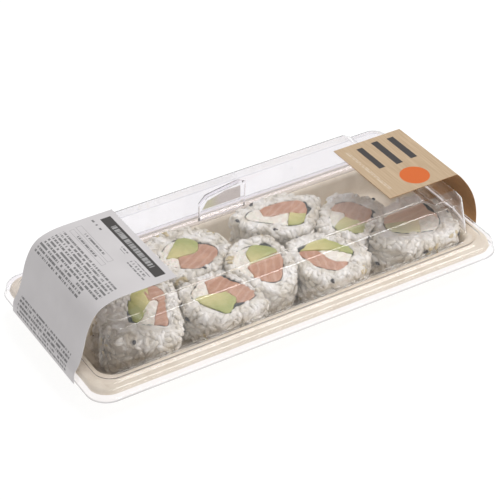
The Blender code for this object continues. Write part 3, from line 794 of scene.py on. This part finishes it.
def inner_rings(rings, thickness):
    """The rings moved through the wall from its exposed side, square to their line in section."""
    flat_lead = rings[0]._replace(half_y=rings[0].half_y - 1)
    moved = []
    for index, ring in enumerate(rings):
        before = rings[index - 1] if index else flat_lead
        after = rings[min(index + 1, len(rings) - 1)]
        arriving = unit(ring.half_y - before.half_y, ring.z - before.z)
        leaving = unit(after.half_y - ring.half_y, after.z - ring.z) if after != ring else arriving
        along, up = unit(arriving[0] + leaving[0], arriving[1] + leaving[1])
        mitre = thickness / (along * arriving[0] + up * arriving[1])
        out = up * mitre
        half_x, half_y, corner = (value + out for value in ring[:3])
        moved.append(Ring(half_x, half_y, corner, ring.z - along * mitre, ring.lift))
    return moved


def uneven(point, amount, lump, seed=0.0):
    """The point moved a little, alike for points that lie close together."""
    shift = noise.noise_vector(Vector((point[0] / lump + seed, point[1] / lump, point[2] / lump)))
    return tuple(value + amount * move for value, move in zip(point, shift))


def build_tray():
    rings = soften(TRAY_RINGS, TRAY_SOFTNESS)
    backs = inner_rings(rings, PULP)
    loops = [ring_points(ring, TRAY_STATIONS) for ring in rings + backs[::-1]]
    loops = [[uneven(point, PULP_UNEVENNESS, PULP_LUMP) for point in loop] for loop in loops]
    for row, height in ((0, PULP), (-1, 0.0)):
        loops[row] = [(x, y, height) for x, y, z in loops[row]]
    add_piece("pulp_tray", *skin(loops), make_pulp(), ["tray"], "tray_pulp")


def rise_share(x):
    """How far up its step the lid's top stands at a distance along the lid, with both ends rounded."""
    share = (STEP_FOOT_X - abs(x)) / (STEP_FOOT_X - STEP_TOP_X)
    for bend, sign in ((0.0, 1), (1.0, -1)):
        past = sign * (share - bend) + STEP_SOFTNESS
        if past < 0:
            return bend
        if past < 2 * STEP_SOFTNESS:
            return bend + sign * past * past / (4 * STEP_SOFTNESS)
    return share


def lid_loop(ring):
    loop = []
    for x, y, z in ring_points(ring, LID_STATIONS):
        rise = rise_share(x) * ring.lift
        inwards = (END_TOP.half_y - PANEL_HALF_Y) * rise
        loop.append((x, y - math.copysign(inwards, y), z + (LID_TOP_Z - END_TOP.z) * rise))
    return loop


def wall_ring(z):
    """The outside of the lid's wall at a height."""
    return Ring(*between(WALL_FOOT, SHOULDER, (z - WALL_FOOT.z) / (SHOULDER.z - WALL_FOOT.z)))


def lug_block(name, shrink, root_depth, face_y, surface):
    middle_x, middle_z = (sum(values) / len(values) for values in zip(*LUG_OUTLINE))
    loops = []
    for scale, at_face in ((1.0, False), (LUG_FACE_SCALE, True)):
        loop = []
        for x, z in LUG_OUTLINE:
            wide = (x - middle_x) * scale
            high = (z - middle_z) * scale
            wide -= math.copysign(shrink, wide)
            high -= math.copysign(shrink, high)
            across = face_y if at_face else wall_ring(middle_z + high).half_y - root_depth
            loop.append((middle_x + wide, across, middle_z + high))
        loops.append(loop)
    return add_piece(name, *skin(loops), surface, [], "")


def apply_boolean(target, tool, operation):
    step = target.modifiers.new(tool.name, "BOOLEAN")
    step.operation = operation
    step.solver = "EXACT"
    step.object = tool
    with bpy.context.temp_override(object=target, active_object=target):
        bpy.ops.object.modifier_apply(modifier=step.name)
    bpy.data.objects.remove(tool, do_unlink=True)


def build_lid():
    clear = make_clear()
    rings = soften(LID_RINGS, LID_SOFTNESS)
    backs = inner_rings(rings, PLASTIC)
    loops = [lid_loop(ring) for ring in rings + backs[::-1]]
    lid = add_piece("clear_lid", *skin(loops), clear, ["lid"], "clear_plastic")
    apply_boolean(lid, lug_block("lug_outside", 0.0, LUG_ROOT, LUG_FACE_Y, clear), "UNION")
    hollow = lug_block("lug_hollow", PLASTIC, LUG_HOLLOW_ROOT, LUG_FACE_Y - PLASTIC, clear)
    apply_boolean(lid, hollow, "DIFFERENCE")
    lid.data.set_sharp_from_angle(angle=math.radians(LID_CREASE))


def curve_value(before, start, end, after, share):
    """One coordinate at a share of the way from start to end, on a smooth curve through all four."""
    slope = (end - before) / 2
    bend = (2 * before - 5 * start + 4 * end - after) / 2
    twist = (3 * start - before - 3 * end + after) / 2
    return start + share * (slope + share * (bend + share * twist))


def smooth_path(corners):
    """Points along a smooth curve from the second corner to the last but one, PATH_STEPS to each leg."""
    path = []
    for four in zip(corners, corners[1:], corners[2:], corners[3:]):
        for step in range(PATH_STEPS):
            path.append(tuple(curve_value(*values, step / PATH_STEPS) for values in zip(*four)))
    return path + [corners[-2]]


def build_label(colour, corners, sides, skew, tooth, print_surface, back_surface):
    """A strip of paper along a path, printed on its outside, with its first edge torn in small teeth."""
    path = smooth_path([corners[0], *corners, corners[-1]])
    onwards = math.copysign(1.0, corners[-1][0])
    columns = round((sides[1] - sides[0]) / ACROSS_STEP)
    width = columns + 1
    loops, places = [], []
    run = 0.0
    for index, (x, z) in enumerate(path):
        before = path[max(index - 1, 0)]
        after = path[min(index + 1, len(path) - 1)]
        along, up = unit(after[0] - before[0], after[1] - before[1])
        run += math.hypot(x - before[0], z - before[1])
        drift = skew * (LABEL_Z - z) / (LABEL_Z - SKIRT_Z)
        under, over = [], []
        for column in range(width):
            across = sides[0] + (sides[1] - sides[0]) * column / columns
            bite = tooth if index == 0 and column % TOOTH_COLUMNS < TOOTH_COLUMNS / 2 else 0.0
            under.append((x + bite * onwards, across + drift, z))
            over.append(
                (x - up * onwards * PAPER + bite * onwards, across + drift, z + along * onwards * PAPER)
            )
            places.append((run, across))
        loops.append(under + over[::-1])
        places += places[-width:][::-1]
    label = add_piece(f"{colour}_label", *skin(loops), print_surface, [f"label_{colour}"], f"{colour}_paper")
    label.data.materials.append(back_surface)
    layer = label.data.uv_layers.new(name="print")
    for face in label.data.polygons:
        face.material_index = int(any(vertex // width % 2 == 0 for vertex in face.vertices))
        for corner, vertex in zip(face.loop_indices, face.vertices):
            layer.data[corner].uv = places[vertex]


@functools.lru_cache(maxsize=None)
def core_radii(roll):
    """How far the nori's outside lies from the roll's centre, in even steps all the way round."""
    around = smooth_path([roll.core[-1], *roll.core, *roll.core[:2]])[:-1]
    polar = sorted((math.degrees(math.atan2(y, x)) % 360, math.hypot(x, y)) for x, y in around)
    polar = [(polar[-1][0] - 360, polar[-1][1]), *polar, (polar[0][0] + 360, polar[0][1])]
    radii = []
    for column in range(ROLL_COLUMNS):
        angle = 360 * column / ROLL_COLUMNS
        for (before, near), (after, far) in zip(polar, polar[1:]):
            if before <= angle < after:
                radii.append(near + (far - near) * (angle - before) / (after - before))
                break
    return radii


def between_columns(radii, angle):
    """How far the straight line between two columns lies from the centre, in a direction between them."""
    place = angle % 360 * ROLL_COLUMNS / 360
    column = int(place)
    past = 360 * (place - column) / ROLL_COLUMNS
    left = 360 / ROLL_COLUMNS - past
    near = radii[column % ROLL_COLUMNS]
    far = radii[(column + 1) % ROLL_COLUMNS]
    return near * far * direction(past + left)[1] / (near * direction(past)[1] + far * direction(left)[1])


def core_radius(roll, angle):
    """How far the outside of the nori lies from the roll's centre in a direction."""
    return between_columns(core_radii(roll), angle)


@functools.lru_cache(maxsize=None)
def lining_radii(roll):
    """How far the nori's inside, folds and all, lies from the centre, in even steps all the way round."""
    radii = []
    for column, radius in enumerate(core_radii(roll)):
        angle = 360 * column / ROLL_COLUMNS
        aside = min(abs((angle - fold + 180) % 360 - 180) for fold in roll.folds)
        radii.append(radius - NORI - FOLD_DEPTH * max(1 - aside / FOLD_SPREAD, 0.0))
    return radii


def centre(roll, z):
    """Where the middle of a roll's core stands at a height."""
    below_top = 1 - (z - ROLL_FOOT_Z) / roll.height
    return roll.x - roll.lean_x * below_top, roll.y - roll.lean_y * below_top


def placed_loop(roll, radii, z):
    """A loop round the roll at a height, through the given distances from its centre."""
    middle_x, middle_y = centre(roll, z)
    loop = []
    for column, radius in enumerate(radii):
        along, across = direction(360 * column / ROLL_COLUMNS)
        loop.append((middle_x + radius * along, middle_y + radius * across, z))
    return loop


def build_nori(number, roll, surface):
    """The sheet round the fillings, whose top edge is torn."""
    top = ROLL_FOOT_Z + roll.height
    heights = (ROLL_FOOT_Z, *(top - drop for drop in NORI_ROWS))
    loops = [placed_loop(roll, core_radii(roll), z) for z in heights]
    loops += [placed_loop(roll, lining_radii(roll), z) for z in reversed(heights)]
    middle = len(heights)
    for row in (middle - 1, middle):
        torn = []
        for x, y, z in loops[row]:
            tear = noise.noise(Vector((x / TEAR_LENGTH, y / TEAR_LENGTH, number)))
            torn.append((x, y, z - NORI_TEAR * max(tear, 0.0)))
        loops[row] = torn
    add_piece(f"nori_wrap_{number}", *skin(loops, "joined"), surface, [f"nori_{number}"], "nori")


def seam(roll, filling):
    """The seam at the start of a filling's share: its corners, the last of them on the nori's lining."""
    *bends, end = (roll.junction, *getattr(roll, filling))
    near, far = 0.0, FURTHEST_SHARE
    while far - near > SHARE_ACCURACY:
        share = (near + far) / 2
        x, y = between(bends[-1], end, share)
        if math.hypot(x, y) < between_columns(lining_radii(roll), math.degrees(math.atan2(y, x))):
            near = share
        else:
            far = share
    return [*bends, (x, y)]


def filling_outline(roll, filling):
    """A filling's share of the core: out along its seam, round the nori, and back along the next seam."""
    seams = {name: seam(roll, name) for name in FILLINGS}
    ends = {name: math.degrees(math.atan2(path[-1][1], path[-1][0])) for name, path in seams.items()}
    spreads = {name: (ends[name] - ends[filling]) % 360 for name in FILLINGS if name != filling}
    following = min(spreads, key=spreads.get)
    step = 360 / ROLL_COLUMNS
    first = math.ceil(ends[filling] / step)
    last = math.floor((ends[filling] + spreads[following]) / step)
    outline = list(seams[filling])
    for column in range(first, last + 1):
        radius = lining_radii(roll)[column % ROLL_COLUMNS]
        along, across = direction(column * step)
        outline.append((radius * along, radius * across))
    outline += seams[following][:0:-1]
    return outline


def rounded(corners):
    """Closely spaced points along an outline, with its corners rounded."""
    outline = []
    for (x0, y0), (x1, y1) in zip(corners, corners[1:] + corners[:1]):
        parts = max(1, round(math.hypot(x1 - x0, y1 - y0) / OUTLINE_STEP))
        outline += [(x0 + (x1 - x0) * part / parts, y0 + (y1 - y0) * part / parts) for part in range(parts)]
    for _ in range(CORNER_ROUNDS):
        outline = [
            ((before[0] + 2 * here[0] + after[0]) / 4, (before[1] + 2 * here[1] + after[1]) / 4)
            for before, here, after in zip(outline[-1:] + outline, outline, outline[1:] + outline[:1])
        ]
    return outline


def heart(corners):
    """The place that lies furthest inside the lines along all sides of an anticlockwise outline."""
    sides = []
    for (x0, y0), (x1, y1) in zip(corners, corners[1:] + corners[:1]):
        if math.hypot(x1 - x0, y1 - y0) > SHORTEST_SIDE:
            along, across = unit(x1 - x0, y1 - y0)
            sides.append((x0, y0, along, across))
    low_x, low_y = (min(values) for values in zip(*corners))
    high_x, high_y = (max(values) for values in zip(*corners))
    best = (-math.inf, 0.0, 0.0)
    for column in range(round((high_x - low_x) / HEART_STEP)):
        for row in range(round((high_y - low_y) / HEART_STEP)):
            x = low_x + column * HEART_STEP
            y = low_y + row * HEART_STEP
            room = min(along * (y - y0) - across * (x - x0) for x0, y0, along, across in sides)
            best = max(best, (room, x, y))
    return best[1:]


def build_filling(number, roll, filling, surface):
    corners = filling_outline(roll, filling)
    middle_x, middle_y = heart(corners)
    outline = rounded(corners)
    outline_amount, top_amount, lump = UNEVEN_FILLINGS[filling]
    top = ROLL_FOOT_Z + roll.height + FILLINGS[filling]
    reach = sum(math.dist(point, (middle_x, middle_y)) for point in outline) / len(outline)
    rows = [(1.0, ROLL_FOOT_Z), (1.0, top - FILLING_SHOULDER)]
    rows += [(1 - inset / reach, top - drop) for inset, drop in EDGE_ROWS]
    rows += [(share * (1 - EDGE_ROWS[-1][0] / reach), top) for share in INNER_ROWS]
    level = FILLING_APART * number
    loops = []
    for share, z in rows:
        centre_x, centre_y = centre(roll, z)
        loop = []
        for x, y in outline:
            drift = noise.noise(Vector((x / lump, y / lump, level + OUTLINE_APART)))
            wander = 1 + outline_amount / reach * drift
            px = middle_x + (x - middle_x) * share * wander
            py = middle_y + (y - middle_y) * share * wander
            rise = 0.0
            if z > ROLL_FOOT_Z:
                rise = top_amount * noise.noise(Vector((px / lump, py / lump, level)))
            loop.append((centre_x + px, centre_y + py, z + rise))
        loops.append(loop)
    name = f"{filling}_{number}"
    add_piece(f"{filling}_cut_{number}", *skin(loops, "whole"), surface, [name], filling)


def cavity_halves(z):
    """Half the length and half the width of the room inside the tray and lid at a height."""
    for below, above in zip(TRAY_RINGS, TRAY_RINGS[1:]):
        if z <= above.z:
            half_x, half_y, *rest = between(below, above, (z - below.z) / (above.z - below.z))
            return half_x - GAP, min(half_y - GAP, CAVITY_HALF_Y)
    return INNER_BRIM.half_x - GAP, CAVITY_HALF_Y


def kept_inside(point):
    """The point, or the place where the tray or the lid stops it."""
    x, y, z = point
    z = max(z, ROLL_FOOT_Z)
    half_x, half_y = cavity_halves(z)
    if z > WALL_FOOT.z:
        half_x = min(half_x, wall_ring(z).half_x - PLASTIC - GAP)
    past_x = min(abs(x), half_x) - half_x + ROOM_CORNER
    past_y = min(abs(y), half_y) - half_y + ROOM_CORNER
    reach = math.hypot(past_x, past_y)
    if past_x > 0 and past_y > 0 and reach > ROOM_CORNER:
        past_x *= ROOM_CORNER / reach
        past_y *= ROOM_CORNER / reach
    x = math.copysign(half_x - ROOM_CORNER + past_x, x)
    y = math.copysign(half_y - ROOM_CORNER + past_y, y)
    return x, y, z


@functools.lru_cache(maxsize=None)
def meeting_planes(roll):
    """Where the roll's rice meets each other roll's at the top, as (other roll, direction, distance).

    The plane lies halfway between the two places on their nori that are closest to each other.
    """
    mine = placed_loop(roll, core_radii(roll), ROLL_FOOT_Z + roll.height)
    planes = []
    for other in ROLLS:
        if other is roll:
            continue
        theirs = placed_loop(other, core_radii(other), ROLL_FOOT_Z + other.height)
        pairs = [(math.dist(here[:2], there[:2]), here, there) for here in mine for there in theirs]
        here, there = min(pairs)[1:]
        facing = math.degrees(math.atan2(there[1] - here[1], there[0] - here[0]))
        along, across = direction(facing)
        halfway_x = (here[0] + there[0]) / 2 - roll.x
        halfway_y = (here[1] + there[1]) / 2 - roll.y
        planes.append((other, facing, halfway_x * along + halfway_y * across))
    return planes


def press_limits(roll, z):
    """The flat sides that neighbours and walls press into a roll, as (direction, distance) pairs."""
    middle_x, middle_y = centre(roll, z)
    half_x, half_y = cavity_halves(z)
    limits = [(0, half_x - middle_x), (180, half_x + middle_x)]
    limits += [(90, half_y - middle_y), (270, half_y + middle_y)]
    below_top = 1 - (z - ROLL_FOOT_Z) / roll.height
    for other, facing, distance in meeting_planes(roll):
        along, across = direction(facing)
        parting = (roll.lean_x - other.lean_x) * along + (roll.lean_y - other.lean_y) * across
        limits.append((facing, distance + parting * below_top / 2 - GAP))
    return limits


def rice_radius(roll, angle, limits):
    """How far the rice reaches in a direction: its own outline, flattened where something presses it."""
    core = core_radius(roll, angle)
    total = (core + roll.rice) ** -PRESS_SHARPNESS
    for facing, distance in limits:
        towards = direction(angle - facing)[0]
        if towards > LEAST_FACING:
            total += (distance / towards) ** -PRESS_SHARPNESS
    return max(total ** (-1 / PRESS_SHARPNESS), core + GAP + LEAST_RICE)


def rice_point(roll, angle, outwards, height):
    z = ROLL_FOOT_Z + roll.height * height
    middle_x, middle_y = centre(roll, z)
    hole = core_radius(roll, angle)
    radius = hole + (rice_radius(roll, angle, press_limits(roll, z)) - hole) * outwards
    along, across = direction(angle)
    return Vector((middle_x + radius * along, middle_y + radius * across, z))


def section_place(share):
    """The place in the rice's section at a share of the way from its first corner to its last."""
    whole = share * (len(RICE_SECTION) - 1)
    index = min(int(whole), len(RICE_SECTION) - 2)
    return between(RICE_SECTION[index], RICE_SECTION[index + 1], whole - index)


def rice_surface(roll, angle, share):
    """A point on the outside of the rice, the way round it and the way out of it."""
    here = rice_point(roll, angle, *section_place(share))
    around = (rice_point(roll, angle + FEELER_ANGLE, *section_place(share)) - here).normalized()
    step = FEELER_SHARE if share < FEELER_TURN else -FEELER_SHARE
    upwards = (rice_point(roll, angle, *section_place(share + step)) - here) * math.copysign(1.0, step)
    lumpy = Vector(uneven(here, CORE_UNEVENNESS, CORE_LUMP, ROLLS.index(roll)))
    return lumpy, around, around.cross(upwards).normalized()


def pod(length, width, thickness, bow=0.0, point=0.0):
    """A grain or seed about the origin: its points, and its faces, which look outwards."""
    points = [(-length / 2, 0.0, 0.0)]
    for row in range(1, GRAIN_ROWS):
        turn = math.pi * row / GRAIN_ROWS
        along = -math.cos(turn)
        girth = math.sin(turn) ** GRAIN_SLIMNESS * (1 + point * along)
        for side in range(GRAIN_SIDES):
            across, up = direction(360 * side / GRAIN_SIDES)
            height = girth * up * thickness / 2 - bow * along * along
            points.append((along * length / 2, girth * across * width / 2, height))
    points.append((length / 2, 0.0, 0.0))
    last = len(points) - 1
    faces = []
    for side in range(GRAIN_SIDES):
        beside = (side + 1) % GRAIN_SIDES
        faces.append((0, 1 + side, 1 + beside))
        for row in range(GRAIN_ROWS - 2):
            base = 1 + row * GRAIN_SIDES
            above = base + GRAIN_SIDES
            faces.append((base + side, above + side, above + beside, base + beside))
        base = last - GRAIN_SIDES
        faces.append((base + side, last, base + beside))
    return [Vector(point) for point in points], faces


def stand_on(here, around, out, spin, tilt, sunk):
    """The placing of a pod that lies on a surface, spun from the way round it and tipped a little."""
    side = (around - out * around.dot(out)).normalized()
    side.rotate(Matrix.Rotation(math.radians(spin), 3, out))
    lying = Matrix((side, out.cross(side), out)).transposed().to_4x4()
    tipped = lying @ Matrix.Rotation(math.radians(tilt), 4, "Y")
    tipped.translation = here - out * sunk
    return tipped


def add_pod(points, faces, shape, placing):
    base = len(points)
    pod_points, pod_faces = shape
    points += [tuple(placing @ point) for point in pod_points]
    faces += [tuple(base + index for index in face) for face in pod_faces]


def rice_core(roll, number):
    loops = []
    for outwards, height in RICE_FOOT + RICE_SECTION:
        z = ROLL_FOOT_Z + roll.height * height
        limits = press_limits(roll, z)
        radii = []
        for column in range(ROLL_COLUMNS):
            angle = 360 * column / ROLL_COLUMNS
            hole = core_radius(roll, angle) + CORE_CLEARANCE
            outside = max(rice_radius(roll, angle, limits) - CORE_DEPTH, hole + LEAST_CORE)
            radii.append(hole + (outside - hole) * outwards)
        loop = placed_loop(roll, radii, z)
        if height > PLAIN_HEIGHT and outwards > PLAIN_SHARE:
            loop = [uneven(point, CORE_UNEVENNESS, CORE_LUMP, number - 1) for point in loop]
        loops.append(loop)
    return skin(loops, "joined")


def build_rice(number, roll, surface):
    """Rice as a core with grains lying all over it, half sunk, and pressed flat on the tray and lid."""
    chance = random.Random(number)
    points, faces = rice_core(roll, number)
    shapes = [
        pod(GRAIN_LENGTH * size, GRAIN_WIDTH * size, GRAIN_THICKNESS * size, bow)
        for size in GRAIN_SIZES
        for bow in GRAIN_BOWS
    ]
    for layer in range(GRAIN_LAYERS):
        share = (layer + 0.5) / GRAIN_LAYERS
        girth = 2 * math.pi * (sum(core_radii(roll)) / ROLL_COLUMNS + roll.rice * section_place(share)[0])
        columns = round(girth / GRAIN_PITCH)
        for column in range(columns):
            aside = chance.uniform(-GRAIN_WANDER, GRAIN_WANDER)
            angle = 360 * (column + 0.5 * (layer % 2) + aside) / columns
            place = min(max(share + chance.uniform(-0.5, 0.5) / GRAIN_LAYERS, LOWEST_GRAIN), HIGHEST_GRAIN)
            here, around, out = rice_surface(roll, angle, place)
            sunk = chance.uniform(*(CUT_SUNK if place > CUT_SHARE else SIDE_SUNK))
            spin = chance.uniform(-RIM_SPIN, RIM_SPIN) if place > RIM_SHARE else chance.uniform(0, 180)
            tilt = chance.uniform(-GRAIN_TILT, GRAIN_TILT)
            placing = stand_on(here, around, out, spin, tilt, sunk)
            add_pod(points, faces, chance.choice(shapes), placing)
    add_grains(f"rice_grains_{number}", points, faces, surface, [f"rice_{number}"])


def add_grains(name, points, faces, surface, replaced):
    points = [kept_inside(point) for point in points]
    add_piece(name, points, faces, surface, replaced, "rice", GRAIN_CREASE, turn_out=False)


def build_seeds():
    """Black and yellow sesame seeds, stuck to the outside of the rice."""
    chance = random.Random(SEED_SHUFFLE)
    shape = pod(SEED_LENGTH, SEED_WIDTH, SEED_THICKNESS, point=SEED_POINT)
    for colour, seeds in SEEDS.items():
        points, faces = [], []
        group = SEED_GROUPS[colour]
        for number, middle_angle, middle_share in seeds * group.count:
            angle = middle_angle + group.angle * chance.uniform(-1, 1)
            share = middle_share + group.share * chance.uniform(-1, 1)
            here, around, out = rice_surface(ROLLS[number - 1], angle, share)
            tilt = chance.uniform(-GRAIN_TILT, GRAIN_TILT)
            placing = stand_on(here, around, out, chance.uniform(0, 180), tilt, -SEED_LIFT)
            add_pod(points, faces, shape, placing)
        surface = make_plain(f"sesame_{colour}", 400, *SEED_COLOURS[colour], Roughness=0.4)
        add_grains(f"sesame_seeds_{colour}", points, faces, surface, ["rice_1"])


def point_at(made, place, onward):
    """Puts a camera or a lamp at a place, facing onward."""
    made.location = place
    made.rotation_euler = onward.to_track_quat("-Z", "Y").to_euler()


def add_camera():
    lens = bpy.data.cameras.new("camera")
    lens.lens = CAMERA_LENS
    lens.sensor_width = SENSOR
    lens.sensor_fit = "HORIZONTAL"
    lens.clip_end = FURTHEST_SEEN
    camera = add_object("camera", lens)
    point_at(camera, CAMERA_PLACE, -Vector(CAMERA_BACK))
    bpy.context.scene.camera = camera


def add_softbox(name, box):
    face = bpy.data.lights.new(name, "AREA")
    face.shape = "RECTANGLE"
    face.size = box.width
    face.size_y = box.depth
    face.energy = box.radiance * math.pi * box.width * box.depth
    point_at(add_object(name, face), box.place, Vector(box.aim) - Vector(box.place))


def add_studio():
    world = bpy.data.worlds.new("studio")
    world.use_nodes = True
    background = world.node_tree.nodes["Background"].inputs
    background["Color"].default_value = WHITE
    background["Strength"].default_value = WORLD_LIGHT
    bpy.context.scene.world = world
    for name, box in SOFTBOXES.items():
        add_softbox(name, box)
    mesh = bpy.data.meshes.new("floor")
    sides = [(-1, -1), (1, -1), (1, 1), (-1, 1)]
    corners = [(x * FLOOR_REACH, y * FLOOR_REACH, FLOOR_LEVEL) for x, y in sides]
    mesh.from_pydata(corners, [], [(0, 1, 2, 3)])
    made = new_material("pale_floor")[0]
    set_values(made, Base_Color=FLOOR_COLOUR, Roughness=0.9, Specular_IOR_Level=0.0)
    set_values(made, Emission_Color=WHITE, Emission_Strength=FLOOR_GLOW)
    mesh.materials.append(made)
    floor = add_object("floor", mesh)


def build_rolls():
    rice = make_rice()
    nori = make_nori()
    cheese = make_cheese()
    for number, roll in enumerate(ROLLS, start=1):
        build_rice(number, roll, rice)
        build_nori(number, roll, nori)
        build_filling(number, roll, "salmon", make_salmon(number))
        build_filling(number, roll, "avocado", make_avocado(number, roll))
        build_filling(number, roll, "cheese", cheese)
    build_seeds()


def build_labels():
    white_back = make_plain("white_paper_back", 500, (0.60, 0.59, 0.58), (0.66, 0.65, 0.64), Roughness=0.7)
    # The kraft label's back is the same kraft, darker as painted shade on its underside
    kraft_back_shaded = make_plain("kraft_paper_back", 500, (0.34, 0.17, 0.06), (0.40, 0.215, 0.085), Roughness=0.8)
    build_label("white", WHITE_PATH, WHITE_SIDES, WHITE_SKEW, TOOTH, make_white_print(), white_back)
    build_label("kraft", KRAFT_PATH, KRAFT_SIDES, 0.0, 0.0, make_kraft_print(), kraft_back_shaded)


def main():
    scene = bpy.context.scene
    scene.view_settings.view_transform = "Standard"
    scene.cycles.max_bounces = BOUNCES
    scene.cycles.transmission_bounces = BOUNCES
    scene.cycles.transparent_max_bounces = CLEAR_BOUNCES
    scene.cycles.caustics_refractive = False
    scene.cycles.caustics_reflective = False
    noise.seed_set(UNEVENNESS_SEED)
    add_camera()
    add_studio()
    build_tray()
    build_lid()
    build_labels()
    build_rolls()


main()
